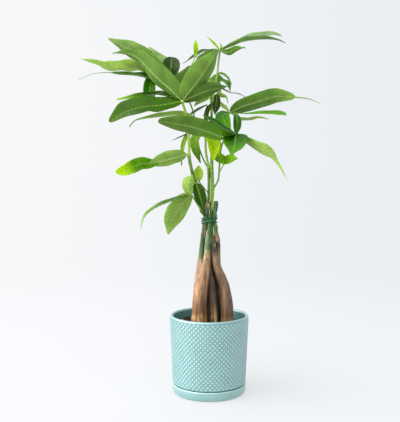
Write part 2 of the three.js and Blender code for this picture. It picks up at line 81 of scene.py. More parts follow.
def smooth_step(low: float, high: float, values: Array) -> Array:
    """Rises smoothly from 0 at low to 1 at high."""
    share = np.clip((values - low) / (high - low), 0, 1)
    return share * share * (3 - 2 * share)


def grain(points: Array, scale: Point, offset: float = 0.0) -> Array:
    """Reads seeded noise at places in space.

    Args:
        points: places in metres, with x, y and z last.
        scale: how many grains there are to a metre along x, y and z.
        offset: moves the pattern, so that two pieces differ.

    Returns:
        Values from about -1 to 1, one for each place.
    """
    flat = (points.reshape(-1, 3) * np.array(scale) + offset).tolist()
    values = [noise.noise(Vector(place)) for place in flat]
    return np.array(values).reshape(points.shape[:-1])


def colours_at(stops: Stops, places: Array) -> Array:
    """Reads colours that follow one another along a stem or up a trunk.

    Args:
        stops: places and their colours, in rising order.
        places: where to read, in the unit of the stops.

    Returns:
        Linear colours, with red, green and blue last.
    """
    spots, codes = zip(*stops)
    shades = np.array([srgb(code) for code in codes])
    return np.stack([np.interp(places, spots, channel) for channel in shades.T], axis=-1)


def spokes(sides: int) -> Array:
    """Pairs of cosine and sine, evenly spaced round a circle."""
    angles = np.arange(sides) * 2 * math.pi / sides
    return np.stack([np.cos(angles), np.sin(angles)], axis=1)


def turned(outline: Array, sides: int) -> Array:
    """Turns (radius, height) points in millimetres about the upright axis, into rings in metres."""
    heights = np.repeat(outline[:, None, 1:], sides, axis=1)
    return np.concatenate([outline[:, None, :1] * spokes(sides), heights], axis=2) * MM


def ball(gap: float, count: int, sides: int) -> Array:
    """Lays rings over a ball of radius 1, from its top down.

    Args:
        gap: the angle from the top to the first ring, in radians.
        count: rings.
        sides: points in a ring.

    Returns:
        The ring points as (ring, point, xyz).
    """
    tilt = np.linspace(gap, math.pi - gap, count)[:, None, None]
    heights = np.broadcast_to(np.cos(tilt), (count, sides, 1))
    return np.concatenate([np.sin(tilt) * spokes(sides), heights], axis=2)


def rounded(outline: list[tuple[float, float, float]], steps: int) -> Array:
    """Rounds the corners of an outline.

    Args:
        outline: corners as (radius from the axis, height, size of the rounding), in millimetres.
        steps: points on each rounded corner.

    Returns:
        The outline's points as (radius, height), in millimetres.
    """
    corners = np.array([corner[:2] for corner in outline], float)
    points = []
    for index, (_, _, size) in enumerate(outline):
        corner = corners[index]
        back, ahead = corners[index - 1] - corner, corners[(index + 1) % len(corners)] - corner
        start, end = corner + unit(back) * size, corner + unit(ahead) * size
        for share in np.linspace(0, 1, steps) if size else (0,):
            points.append((1 - share) ** 2 * start + 2 * share * (1 - share) * corner + share**2 * end)
    return np.array(points)


def round_rings(points: Array, directions: Array, radii: Array | float, sides: int) -> Array:
    """Lays rings square to a path.

    Args:
        points: the path.
        directions: its unit directions.
        radii: one radius, a column of one for each ring, or one for each point of each ring.
        sides: points in a ring.

    Returns:
        The ring points as (ring, point, xyz).
    """
    across = np.array([1.0, 0.0, 0.0])
    circle = spokes(sides)
    rings = []
    for point, direction, radius in zip(points, directions, np.broadcast_to(radii, (len(points), sides))):
        across = unit(across - direction * (across @ direction))
        spread = circle[:, :1] * across + circle[:, 1:] * np.cross(direction, across)
        rings.append(point + spread * radius[:, None])
    return np.array(rings)


def add_to_scene(name: str, data: bpy.types.ID) -> Piece:
    """Makes an object.

    Args:
        name: its name.
        data: its mesh or camera.

    Returns:
        The object, linked to the scene.
    """
    made = bpy.data.objects.new(name, data)
    bpy.context.scene.collection.objects.link(made)
    return made


class SmoothPath:
    """A centripetal Catmull-Rom curve through given points, walked at an even pace."""

    STEPS = 48

    def __init__(self, points: Sequence[Sequence[float]]) -> None:
        """Draws the curve.

        Args:
            points: the given points; numbers after x, y and z, such as a radius, ride along.
        """
        points = np.array(points, float)
        self.rows = np.concatenate([2 * points[:1] - points[1:2], points, 2 * points[-1:] - points[-2:-1]])
        self.line = np.concatenate([*(self._span(index) for index in range(len(points) - 1)), points[-1:]])
        steps = np.linalg.norm(np.diff(self.line[:, :3], axis=0), axis=1)
        self.run = np.concatenate([[0.0], np.cumsum(steps)])
        self.length = float(self.run[-1])

    def _span(self, index: int) -> Array:
        """Fills in the curve from one given point to the next.

        Args:
            index: the first point's number.

        Returns:
            The rows from that point on, without the next one.
        """
        before, start, end, after = self.rows[index : index + 4]
        first, middle, last = (max(np.linalg.norm((b - a)[:3]) ** 0.5, 1e-4)
                               for a, b in ((before, start), (start, end), (end, after)))
        leave = (start - before) / first - (end - before) / (first + middle) + (end - start) / middle
        arrive = (end - start) / middle - (after - start) / (middle + last) + (after - end) / last
        t = (np.arange(self.STEPS) / self.STEPS)[:, None]
        return ((2 * t**3 - 3 * t**2 + 1) * start + (t**3 - 2 * t**2 + t) * leave * middle
                + (3 * t**2 - 2 * t**3) * end + (t**3 - t**2) * arrive * middle)

    def _at(self, reach: Array) -> Array:
        """The curve's rows at distances along it."""
        return np.stack([np.interp(reach, self.run, column) for column in self.line.T], axis=1)

    def walk(self, count: int) -> tuple[Array, Array, Array]:
        """Walks the curve from end to end.

        Args:
            count: how many stops to make, at an even pace.

        Returns:
            The share of the way, the row and the unit direction at each stop.
        """
        share = np.linspace(0, 1, count)
        reach, nudge = share * self.length, 1e-3 * self.length
        return share, self._at(reach), unit((self._at(reach + nudge) - self._at(reach - nudge))[:, :3])


@dataclass
class PieceMesh:
    """Collects the skins of one piece, with the values that its finishes read."""

    name: str
    points: list[Array] = field(default_factory=list)
    values: dict[str, list[Array]] = field(default_factory=dict)
    faces: list[list[int]] = field(default_factory=list)
    slots: list[int] = field(default_factory=list)
    count: int = 0

    def _keep(self, points: Array, values: dict[str, Array]) -> int:
        """Stores points.

        Args:
            points: a row for each point.
            values: what the points carry, with a row for each point.

        Returns:
            The number of the first point.
        """
        for key, rows in values.items():
            self.values.setdefault(key, []).append(rows)
        self.points.append(points)
        self.count += len(points)
        return self.count - len(points)

    def _cover(self, slots: list[int], *corners: Array) -> None:
        """Adds a strip of faces, from their slots and the numbers of their corners."""
        self.faces.extend(np.stack(np.broadcast_arrays(*corners), axis=1).tolist())
        self.slots.extend(slots)

    def add_skin(self, rings: Array, slots: Array | int = 0, joined: bool = False,
                 **values: Array | float) -> None:
        """Adds a closed skin over a row of rings.

        Args:
            rings: points as (ring, point in ring, xyz); each ring closes on itself.
            slots: the finish of each strip between two neighbours of a ring, or one for all.
            joined: the last ring meets the first, so that no fan closes the ends.
            values: colours or vectors for the finishes, stretched to the shape of the rings.
        """
        count, sides = rings.shape[:2]
        values = {key: np.broadcast_to(rows, rings.shape).reshape(-1, 3) for key, rows in values.items()}
        start = self._keep(rings.reshape(-1, 3), values)
        strip = np.broadcast_to(slots, sides).tolist()
        here = np.arange(sides)
        beside = (here + 1) % sides
        for ring in range(count if joined else count - 1):
            low, high = start + ring * sides, start + (ring + 1) % count * sides
            self._cover(strip, low + here, low + beside, high + beside, high + here)
        for ring in () if joined else (0, count - 1):
            own = slice(ring * sides, (ring + 1) * sides)
            means = {key: rows[own].mean(axis=0, keepdims=True) for key, rows in values.items()}
            middle = self._keep(rings[ring].mean(axis=0, keepdims=True), means)
            edge = (here, beside) if ring else (beside, here)
            self._cover(strip, middle, *(start + own.start + corner for corner in edge))

    def build(self, finishes: list[Finish], slot: str, node: str) -> Piece:
        """Makes the object, which rides with the tree and stands for its CAD node.

        Args:
            finishes: the materials, in the order of the slots that the skins name.
            slot: a material slot; not used.
            node: the CAD node that the piece stands for.

        Returns:
            The new object.
        """
        mesh = bpy.data.meshes.new(self.name)
        mesh.from_pydata(np.concatenate(self.points).tolist(), [], self.faces)
        for finish in finishes:
            mesh.materials.append(finish)
        mesh.polygons.foreach_set("material_index", self.slots)
        mesh.polygons.foreach_set("use_smooth", [True] * len(mesh.polygons))
        for key, rows in self.values.items():
            kept = mesh.attributes.new(key, "FLOAT_VECTOR", "POINT")
            kept.data.foreach_set("vector", np.concatenate(rows).astype(np.float32).ravel())
        mesh.update()
        piece = add_to_scene(self.name, mesh)
        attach(piece, "root")
        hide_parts(node)
        return piece


# ---- finishes ----


class Wiring:
    """Wires the nodes of one material."""

    def __init__(self, name: str, world: bpy.types.World | None = None) -> None:
        """Makes a material with its surface shader.

        Args:
            name: the material's name.
            world: a world to wire in its place.
        """
        self.material = world or bpy.data.materials.new(name)
        self.material.use_nodes = True
        self.nodes = self.material.node_tree.nodes
        self.surface = self.nodes.get("Principled BSDF")

    def feed(self, target: Socket, value: object) -> None:
        """Sets a socket.

        Args:
            target: the socket.
            value: another socket to link to it, a paint code, or its own plain value.
        """
        if isinstance(value, Socket):
            self.material.node_tree.links.new(value, target)
            return
        value = srgb(value) if isinstance(value, str) else value
        target.default_value = (*value, 1) if target.type == "RGBA" and len(value) == 3 else value

    def set(self, **settings: object) -> None:
        """Sets the surface shader's own sockets; a space in a socket's name is written as _."""
        for key, value in settings.items():
            self.feed(self.surface.inputs[key.replace("_", " ")], value)

    def add(self, kind: str, output: int | str, inputs: dict[int | str, object], **options: str) -> Socket:
        """Adds a node.

        Args:
            kind: the end of its type's name.
            output: which of its outputs is wanted.
            inputs: what its inputs are fed with.
            options: its other settings.

        Returns:
            The output's socket.
        """
        node = self.nodes.new(f"ShaderNode{kind}")
        for key, option in options.items():
            setattr(node, key, option)
        for key, value in inputs.items():
            self.feed(node.inputs[key], value)
        return node.outputs[output]

    def math(self, operation: str, *values: object) -> Socket:
        """One sum of numbers or sockets."""
        return self.add("Math", 0, dict(enumerate(values)), operation=operation)

    def times(self, *values: object) -> Socket:
        """Two numbers or sockets multiplied."""
        return self.math("MULTIPLY", *values)

    def mix(self, share: object, low: object, high: object, blend: str = "MIX") -> Socket:
        """Two colours mixed."""
        return self.add("Mix", 2, {0: share, 6: low, 7: high}, data_type="RGBA", blend_type=blend)

    def stain(self, base: object, colour: object) -> Socket:
        """A colour multiplied by another, or by a plain brightness."""
        return self.mix(1.0, base, colour, "MULTIPLY")

    def spread(self, value: object, low: float, high: float, to_low: float = 0.0,
               to_high: float = 1.0) -> Socket:
        """One span of a value mapped smoothly to another."""
        inputs = dict(enumerate((value, low, high, to_low, to_high)))
        return self.add("MapRange", 0, inputs, interpolation_type="SMOOTHSTEP")

    def value_of(self, name: str) -> Socket:
        """A colour or vector that the mesh carries."""
        return self.add("Attribute", "Vector", {}, attribute_name=name)

    def parts(self, vector: Socket) -> list[Socket]:
        """The three numbers of a vector."""
        return list(self.add("SeparateXYZ", 0, {0: vector}).node.outputs)

    def place(self, stretch: Point = (1, 1, 1)) -> Socket:
        """The place on the piece, stretched along its axes."""
        return self.add("Mapping", 0, {"Scale": stretch, "Vector": self.add("TexCoord", "Object", {})})

    def away_from_axis(self) -> Socket:
        """The level direction straight out from the upright axis."""
        return self.add("VectorMath", 0, {0: self.place((1, 1, 0))}, operation="NORMALIZE")

    def noise(self, scale: float, detail: float = 3, stretch: Point = (1, 1, 1)) -> Socket:
        """Cloudy noise, with scale in grains to a metre."""
        return self.add("TexNoise", "Fac", {"Scale": scale, "Detail": detail, "Vector": self.place(stretch)})

    def cells(self, scale: float, feature: str = "F1", stretch: Point = (1, 1, 1)) -> Socket:
        """Distance in a pattern of cells."""
        inputs = {"Scale": scale, "Vector": self.place(stretch)}
        return self.add("TexVoronoi", "Distance", inputs, feature=feature)

    def relief(self, height: Socket, depth: float, under: Socket | None = None) -> Socket:
        """A bump of the given depth in metres, over another if one is given."""
        below = {"Normal": under} if under else {}
        return self.add("Bump", 0, {"Distance": depth, "Height": height, **below})

    def glow_green(self, weight: float, depth: float) -> None:
        """Lets green light through the skin to a depth in metres."""
        self.set(Subsurface_Weight=weight, Subsurface_Scale=depth, Subsurface_Radius=(0.45, 1.0, 0.15))


@dataclass(frozen=True)
class CeladonGlaze:
    """A glossy blue-green glaze that breaks paler where it runs thin on raised clay."""

    name: str = "blue_green_glaze"
    deep: str = "387e7d"
    clear: str = "509896"
    thin: str = "a6d3cc"
    roughness: tuple[float, float] = (0.25, 0.38)
    cloud_grains: float = 38
    speckles: float = 420
    dimples: float = 260
    dimple_depth: float = 0.00012

    def make(self) -> Finish:
        """Wires the glaze.

        The mesh says in `raised` how far the clay stands up, how far it is darkened with painted shade
        inside, and how far the clear coat lies flat over small dots.

        Returns:
            The finish.
        """
        wiring = Wiring(self.name)
        raised, depth, flat = wiring.parts(wiring.value_of("raised"))
        clouds = wiring.spread(wiring.noise(self.cloud_grains, 4), 0.3, 0.7, 0.25, 0.75)
        pool = wiring.mix(clouds, self.deep, self.clear)
        thin = wiring.mix(wiring.spread(raised, 0.25, 1.0), pool, self.thin)
        speckle = wiring.spread(wiring.cells(self.speckles), 0.0, 0.16, 0.94, 1.0)
        # Painted shade: the inside is mixed towards the deep glaze colour.
        wiring.set(Base_Color=wiring.stain(wiring.mix(depth, thin, self.deep), speckle))
        wiring.set(Roughness=wiring.spread(wiring.noise(90), 0.2, 0.8, *self.roughness))
        wiring.set(IOR=1.5, Coat_Weight=1.0, Coat_IOR=2.6, Coat_Roughness=0.35)
        uneven = wiring.relief(wiring.noise(self.dimples, 2), self.dimple_depth)
        wiring.set(Normal=uneven, Coat_Normal=wiring.mix(flat, uneven, wiring.away_from_axis()))
        return wiring.material


@dataclass(frozen=True)
class PottingMix:
    """Dark, crumbly potting mix with paler chips."""

    name: str = "potting_mix"
    damp: str = "241610"
    dry: str = "4a3323"
    crumbs: float = 520
    crumb_depth: float = 0.0007
    grit: float = 1500
    grit_depth: float = 0.0005

    def make(self) -> Finish:
        """Wires the mix; the mesh says in `tint` how bright each crumb is.

        Returns:
            The finish.
        """
        wiring = Wiring(self.name)
        base = wiring.mix(wiring.spread(wiring.noise(160, 5), 0.35, 0.65), self.damp, self.dry)
        wiring.set(Base_Color=wiring.stain(base, wiring.value_of("tint")), Roughness=0.9)
        fine = wiring.relief(wiring.noise(self.grit, 4), self.grit_depth)
        wiring.set(Normal=wiring.relief(wiring.cells(self.crumbs), self.crumb_depth, fine))
        return wiring.material


@dataclass(frozen=True)
class BarkFinish:
    """Thin, polished bark with long streaks; each marking has its colour and its grains to a metre."""

    name: str = "trunk_bark"
    crack: tuple[str, float] = ("33211a", 520)
    worn: tuple[str, float] = ("c8a47c", 150)
    pore: tuple[str, float] = ("c9ae87", 230)
    blotch: tuple[str, float] = ("2e3c1c", 240)
    # Near-black colour of the painted shade where trunks press close; it also darkens ridge valleys and knot
    # hollows.
    painted_crease_shade: str = "1a0f08"
    streaks: float = 300
    streak_depth: float = 0.0009
    broad_streaks: float = 70
    fibres: float = 1100
    fibre_depth: float = 0.00035

    def make(self) -> Finish:
        """Wires the bark; the mesh carries its colour in `tint`, and in `growth` its greenness and its
        darkening, part of it painted shade.

        Returns:
            The finish.
        """
        wiring = Wiring(self.name)
        # The second value is the darkening: painted shade where trunks press close, and darker ridge valleys
        # and knot hollows.
        green, darkening, _ = wiring.parts(wiring.value_of("growth"))
        woody = wiring.math("SUBTRACT", 1.0, green)
        streak = wiring.noise(self.streaks, 5, (1, 1, 0.07))
        broad = wiring.spread(wiring.noise(self.broad_streaks, 3, (1, 1, 0.12)), 0.3, 0.7, 0.68, 1.25)
        tone = wiring.times(wiring.spread(streak, 0.32, 0.68, 0.5, 1.4), broad)
        cracks = wiring.spread(wiring.noise(self.crack[1], 4, (1, 1, 0.05)), 0.56, 0.68, 0.0, 0.5)
        patches = wiring.spread(wiring.noise(self.worn[1], 3, (1, 1, 0.35)), 0.6, 0.72, 0.0, 0.55)
        pores = wiring.spread(wiring.cells(self.pore[1], "F1", (1, 1, 1.9)), 0.06, 0.16, 0.65, 0.0)
        blotches = wiring.spread(wiring.noise(self.blotch[1], 3, (1, 1, 0.4)), 0.5, 0.64, 0.0, 0.5)
        colour = wiring.stain(wiring.value_of("tint"), tone)
        # The last mix paints shade where trunks press close, and darkens ridge valleys and knot hollows.
        for share, shade in (
            (wiring.times(cracks, woody), self.crack[0]), (wiring.times(patches, woody), self.worn[0]),
            (pores, self.pore[0]), (wiring.times(blotches, green), self.blotch[0]), (darkening, self.painted_crease_shade),
        ):
            colour = wiring.mix(share, colour, shade)
        polish = wiring.spread(streak, 0.25, 0.75, 0.34, 0.56)
        matt = wiring.spread(darkening, 0.0, 0.6)
        wiring.set(Base_Color=colour, IOR=1.45, Roughness=wiring.math("MAXIMUM", polish, matt))
        fine = wiring.relief(wiring.noise(self.fibres, 4, (1, 1, 0.12)), self.fibre_depth)
        wiring.set(Normal=wiring.relief(streak, self.streak_depth, fine))
        return wiring.material


@dataclass(frozen=True)
class StalkFinish:
    """Smooth green skin of leaf stalks, with faint long ribs and pale flecks."""

    name: str = "green_stalk"
    fleck: str = "d5dd9c"
    flecks: float = 650
    ribs: float = 600
    rib_depth: float = 0.0004

    def make(self) -> Finish:
        """Wires the skin; the mesh carries its colour in `tint`.

        Returns:
            The finish.
        """
        wiring = Wiring(self.name)
        ribs = wiring.noise(self.ribs, 2, (1, 1, 0.06))
        base = wiring.stain(wiring.value_of("tint"), wiring.spread(ribs, 0.3, 0.7, 0.86, 1.12))
        flecks = wiring.spread(wiring.cells(self.flecks, "F1", (1, 1, 0.5)), 0.05, 0.14, 0.35, 0.0)
        wiring.set(Base_Color=wiring.mix(flecks, base, self.fleck), Roughness=0.36)
        wiring.glow_green(0.15, 0.001)
        wiring.set(Normal=wiring.relief(ribs, self.rib_depth))
        return wiring.material


class BladeSide(Enum):
    """The two sides of a leaf blade."""

    UPPER = "upper"
    UNDER = "under"


@dataclass(frozen=True)
class BladeFinish:
    """One side of a leaf blade, with its veins, painted shade beside them, fine net and wax.

    The mesh carries the side's colour in `tint`, and in `blade` the count of side veins along the blade, the
    distance from the midrib as a share of the half width, and how much of the midrib shows.
    """

    side: BladeSide
    rib: str
    # Darker colour for the side veins and for the painted shade beside them.
    vein_and_shade: str
    roughness: tuple[float, float]
    vein_share: float
    net_depth: float
    net: float = 620
    clouds: float = 48
    wax: float = 900
    wax_depth: float = 0.00008

    def make(self) -> Finish:
        """Wires the side's surface.

        Returns:
            The finish.
        """
        wiring = Wiring(f"leaf_{self.side.value}_side")
        count, across, rib = wiring.parts(wiring.value_of("blade"))
        wobble = wiring.times(wiring.math("SUBTRACT", wiring.noise(120, 2), 0.5), 0.35)
        beat = wiring.math("FRACT", wiring.math("ADD", count, wobble))
        apart = wiring.math("ABSOLUTE", wiring.math("SUBTRACT", beat, 0.5))
        # Painted shade: a band beside the side veins takes up to 0.45 of their darker colour.
        beside = wiring.spread(apart, 0.2, 0.5, 0.0, 0.45)
        vein_and_shade = wiring.math("MAXIMUM", wiring.spread(apart, 0.42, 0.495), beside)
        faded = wiring.times(vein_and_shade, wiring.spread(across, 0.4, 1.0, self.vein_share, 0.15))
        clouds = wiring.spread(wiring.noise(self.clouds, 5), 0.3, 0.7, 0.8, 1.2)
        net = wiring.cells(self.net, "DISTANCE_TO_EDGE")
        clouded = wiring.stain(wiring.value_of("tint"), clouds)
        netted = wiring.stain(clouded, wiring.spread(net, 0.0, 0.09, 0.94, 1.0))
        # Side veins are darkened, partly in their own colour and partly as painted shade of their relief, and
        # so is the band beside them.
        veined = wiring.mix(faded, netted, wiring.stain(netted, self.vein_and_shade))
        wiring.set(Base_Color=wiring.mix(wiring.times(rib, 0.85), veined, self.rib))
        wiring.set(Roughness=wiring.spread(wiring.noise(140), 0.25, 0.75, *self.roughness))
        wiring.glow_green(0.25, 0.0012)
        wiring.set(Specular_IOR_Level=0.35, Specular_Tint=(0.75, 1.0, 0.3))
        fine = wiring.relief(wiring.noise(self.wax), self.wax_depth)
        wiring.set(Normal=wiring.relief(net, self.net_depth, fine))
        return wiring.material


@dataclass(frozen=True)
class TieFinish:
    """Shiny green coating of the garden tie, with painted glints and darker patches in its colour."""

    name: str = "coated_tie"
    colour: str = "005a26"
    painted_glints: float = 420
    dents: float = 900
    dent_depth: float = 0.0002

    def make(self) -> Finish:
        """Wires the coating.

        Returns:
            The finish.
        """
        wiring = Wiring(self.name)
        # Painted glints: noise brightens and darkens the colour in patches, in place of highlights.
        tone = wiring.spread(wiring.noise(self.painted_glints), 0.38, 0.62, 0.25, 1.7)
        wiring.set(Base_Color=wiring.stain(self.colour, tone), Metallic=0.55)
        wiring.set(Roughness=0.16, Coat_Weight=0.6, Coat_Roughness=0.04)
        wiring.set(Normal=wiring.relief(wiring.noise(self.dents, 2), self.dent_depth))
        return wiring.material


# ---- pot, saucer and soil ----


@dataclass(frozen=True)
class HobnailPot:
    """The glazed pot, with staggered rows of small raised dots on its wall."""

    rim_radius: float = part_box("pot")[1].x / MM
    rim_height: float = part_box("pot")[1].z / MM
    foot_height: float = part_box("pot")[0].z / MM
    base_radius: float = 58.7
    base_height: float = 16.6
    base_edge: float = 0.8
    plain_band: float = 3
    foot_radius: float = 54.0
    wall: float = 5.0
    floor: tuple[float, float] = (7.5, 13.0)
    hole_radius: float = 7.0
    dots_round: int = 53
    dot_rows: int = 28
    dot_bottom: float = 19.6
    dot_top: float = 120.4
    dot_radius: float = 1.75
    dot_rise: float = 0.85
    coat_flat: float = 0.8
    lip_thin: float = 0.5
    inside_painted_shade: float = 0.4
    samples_round: int = 8
    samples_up: int = 6

    @property
    def pitch(self) -> float:
        """The height from one row of dots to the next."""
        return (self.dot_top - self.dot_bottom) / (self.dot_rows - 1)

    def outside(self) -> Array:
        """Lays out the wall.

        Returns:
            Points as (radius, height), from the base edge to the plain band.
        """
        low, high = self.base_height + self.base_edge, self.rim_height - self.plain_band
        half, step = self.pitch / 2, self.pitch / self.samples_up
        below = np.linspace(low, self.dot_bottom - half - step, 2)
        dotted = np.arange(self.dot_bottom - half, self.dot_top + half + step / 2, step)
        heights = np.concatenate([below, dotted, [high]])
        share = (heights - low) / (high - low)
        return np.stack([self.base_radius + (self.rim_radius - self.base_radius) * share, heights], axis=1)

    def dots(self, heights: Array, sides: int) -> Array:
        """Works out how far the dots stand up.

        Args:
            heights: the height of each ring of the wall.
            sides: points in a ring.

        Returns:
            Shares of a dot's rise, as (ring, point).
        """
        row = np.round((heights - self.dot_bottom) / self.pitch)
        up = heights - self.dot_bottom - row * self.pitch
        shifted = np.arange(sides) / self.samples_round - (row[:, None] % 2) / 2
        aside = (shifted - np.round(shifted)) * (2 * math.pi * self.rim_radius / self.dots_round)
        reach = (aside**2 + up[:, None] ** 2) / self.dot_radius**2
        inside = (row >= 0) & (row < self.dot_rows)
        return np.where(inside[:, None], np.sqrt(np.clip(1 - reach, 0, 1)), 0)

    def build(self, glaze: Finish) -> Piece:
        """Builds the pot as one turned body with its dots raised from the wall.

        Args:
            glaze: the finish.

        Returns:
            The new piece.
        """
        sides = self.dots_round * self.samples_round
        wall = self.outside()
        top, foot, under, floor = self.rim_height, self.foot_radius, *self.floor
        half, drop = self.wall / 2, top - wall[-1, 1]
        inner = self.rim_radius - self.wall
        arc = np.linspace(0, math.pi, 13)[1:]
        rim = np.stack([self.rim_radius - half + half * np.cos(arc), top - drop + drop * np.sin(arc)], axis=1)
        inside = np.linspace((inner, top - drop - 2), (foot - 4, floor + 3), 14)
        rest = rounded([
            (foot - 4, floor + 3, 0), (foot - 5, floor, 1.6), (self.hole_radius, floor, 1.0),
            (self.hole_radius, under, 1.0), (foot - 5, under, 0.6), (foot - 5, self.foot_height, 0.8),
            (foot, self.foot_height, 0.9), (foot, self.base_height, 0.4),
            (self.base_radius, self.base_height, 0.7),
            (self.base_radius, self.base_height + self.base_edge, 0),
        ], 4)[1:-1]
        rings = turned(np.concatenate([wall, rim, inside, rest]), sides)
        bumps = self.dots(wall[:, 1], sides)
        body, lip = slice(len(wall)), slice(len(wall), len(wall) + len(rim))
        rings[body] += unit(rings[body] * (1, 1, 0)) * bumps[:, :, None] * self.dot_rise * MM
        raised = np.zeros(rings.shape)
        raised[body, :, 0] = bumps
        raised[body, :, 2] = self.coat_flat
        raised[lip, :, 0] = self.lip_thin
        # Painted shade: everything after the rim, inside and underneath, is darkened.
        raised[lip.stop :, :, 1] = self.inside_painted_shade
        mesh = PieceMesh("hobnail_pot")
        mesh.add_skin(rings, joined=True, raised=raised)
        return mesh.build([glaze], "glaze", "pot")


@dataclass(frozen=True)
class SaucerDish:
    """The plain glazed saucer with its rounded lip."""

    radius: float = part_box("saucer")[1].x / MM
    height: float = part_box("saucer")[1].z / MM
    base_radius: float = 55.5
    floor: float = 4.0
    wall: float = 3.6
    sides: int = 224

    def build(self, glaze: Finish) -> Piece:
        """Builds the saucer as one turned body, closed at the axis above and below.

        Args:
            glaze: the finish.

        Returns:
            The new piece.
        """
        inside = self.radius - self.wall
        outline = rounded([
            (0.6, 0, 0), (self.base_radius, 0, 1.0), (self.radius - 0.9, 2.6, 2.6),
            (self.radius, self.height, 1.7), (inside, self.height, 1.7), (inside - 1.5, self.floor, 2.4),
            (0.6, self.floor, 0),
        ], 7)
        lip = smooth_step(self.height - 2.2, self.height - 0.2, outline[:, 1])
        mesh = PieceMesh("saucer_dish")
        mesh.add_skin(turned(outline, self.sides), raised=(0.45 + 0.4 * lip)[:, None, None] * (1, 0, 0))
        return mesh.build([glaze], "glaze", "saucer")


@dataclass(frozen=True)
class SoilBed:
    """The potting mix: a lumpy top, crumbs and a few pale chips, given as (x, y, size)."""

    height: float = 111.5
    top_radius: float = 56.6
    bottom: float = 13.3
    bottom_radius: float = 48.0
    sides: int = 160
    slope: tuple[float, float] = (-0.05, -0.045)
    lumps: tuple[tuple[float, float, float], ...] = ((0.0016, 90, 0.0), (0.0008, 300, 5.0))
    crumbs: int = 420
    crumb_reach: float = 55
    crumb_sizes: tuple[float, float] = (0.9, 2.3)
    crumb_tints: tuple[float, float] = (0.6, 2.2)
    chips: tuple[Point, ...] = ((-37, -20, 8.5), (15, -34, 5.5), (-44, 6, 5), (38, 14, 6), (2, 38, 6.5))
    chip_tint: Colour = (9.0, 9.5, 9.5)

    def top_at(self, x: Array | float, y: Array | float) -> Array | float:
        """The height of the mix, which lies a little higher at the left front, in millimetres."""
        return self.height + self.slope[0] * x + self.slope[1] * y

    def bed(self) -> Array:
        """Lays out the bed.

        Returns:
            Its rings, from the middle of its base round to the middle of its top.
        """
        sides_up = rounded([
            (0.8, self.bottom, 0), (self.bottom_radius, self.bottom, 2), (self.top_radius, self.height, 1.5),
        ], 5)
        top = np.linspace((self.top_radius - 2, self.height), (0.8, self.height), 34)
        rings = turned(np.concatenate([sides_up, top]), self.sides)
        lean = self.top_at(rings[:, :, 0] / MM, rings[:, :, 1] / MM) - self.height
        rings[:, :, 2] += lean * smooth_step(0.5, 1.0, rings[:, :, 2] / MM / self.height) * MM
        lumps = sum(rise * grain(rings, (grains,) * 3, offset) for rise, grains, offset in self.lumps)
        free = smooth_step(0.0, 1.0, np.arange(len(rings)) - len(sides_up) + 0.5)
        rings[:, :, 2] += lumps * free[:, None]
        return rings

    def lump(self, x: float, y: float, rise: float, size: float, draw: np.random.Generator) -> Array:
        """Shapes one rough crumb or chip.

        Args:
            x: its place, in millimetres.
            y: its place, in millimetres.
            rise: how far its middle lies above the mix, in millimetres.
            size: its rough radius, in millimetres.
            draw: where its random shape comes from.

        Returns:
            Rings as (ring, point, xyz).
        """
        lean = unit(draw.normal(size=3))
        aside = unit(np.cross(lean, draw.normal(size=3)))
        third = np.cross(lean, aside)
        spans = size * MM * draw.uniform(0.55, 1.2, 3)
        shape = ball(0.35, 4, 6)
        shape[:, :, :2] *= draw.uniform(0.8, 1.15, (4, 6))[:, :, None]
        shape *= spans
        centre = np.array([x, y, self.top_at(x, y) + rise]) * MM
        return centre + (shape[..., :1] * aside + shape[..., 1:2] * third) + shape[..., 2:] * lean

    def build(self, mix: Finish, trunks: list["Trunk"]) -> Piece:
        """Builds the bed with its crumbs and chips, which keep clear of the trunks.

        Args:
            mix: the finish.
            trunks: the trunks that stand in the bed.

        Returns:
            The new piece.
        """
        draw = np.random.default_rng(SEED)
        mesh = PieceMesh("potting_mix")
        mesh.add_skin(self.bed(), tint=1.0)
        feet = [trunk.points[1] for trunk in trunks]
        for _ in range(self.crumbs):
            reach, turn = math.sqrt(draw.uniform()) * self.crumb_reach, draw.uniform(0, 2 * math.pi)
            size, shade = draw.uniform(*self.crumb_sizes), draw.uniform(*self.crumb_tints)
            x, y = reach * math.cos(turn), reach * math.sin(turn)
            if all(math.hypot(x - foot[0], y - foot[1]) >= foot[3] + 2 for foot in feet):
                mesh.add_skin(self.lump(x, y, size * 0.3, size, draw), tint=shade)
        for x, y, size in self.chips:
            mesh.add_skin(self.lump(x, y, 1.4, size * 0.55, draw), tint=self.chip_tint)
        return mesh.build([mix], "soil", "soil")


# ---- trunks and shoots ----


@dataclass(frozen=True)
class Knot:
    """A branch scar: its height, the way it faces in degrees from +X, its size, rise and hollow."""

    height: float
    facing: float
    size: float
    rise: float
    hollow: float = 0.5


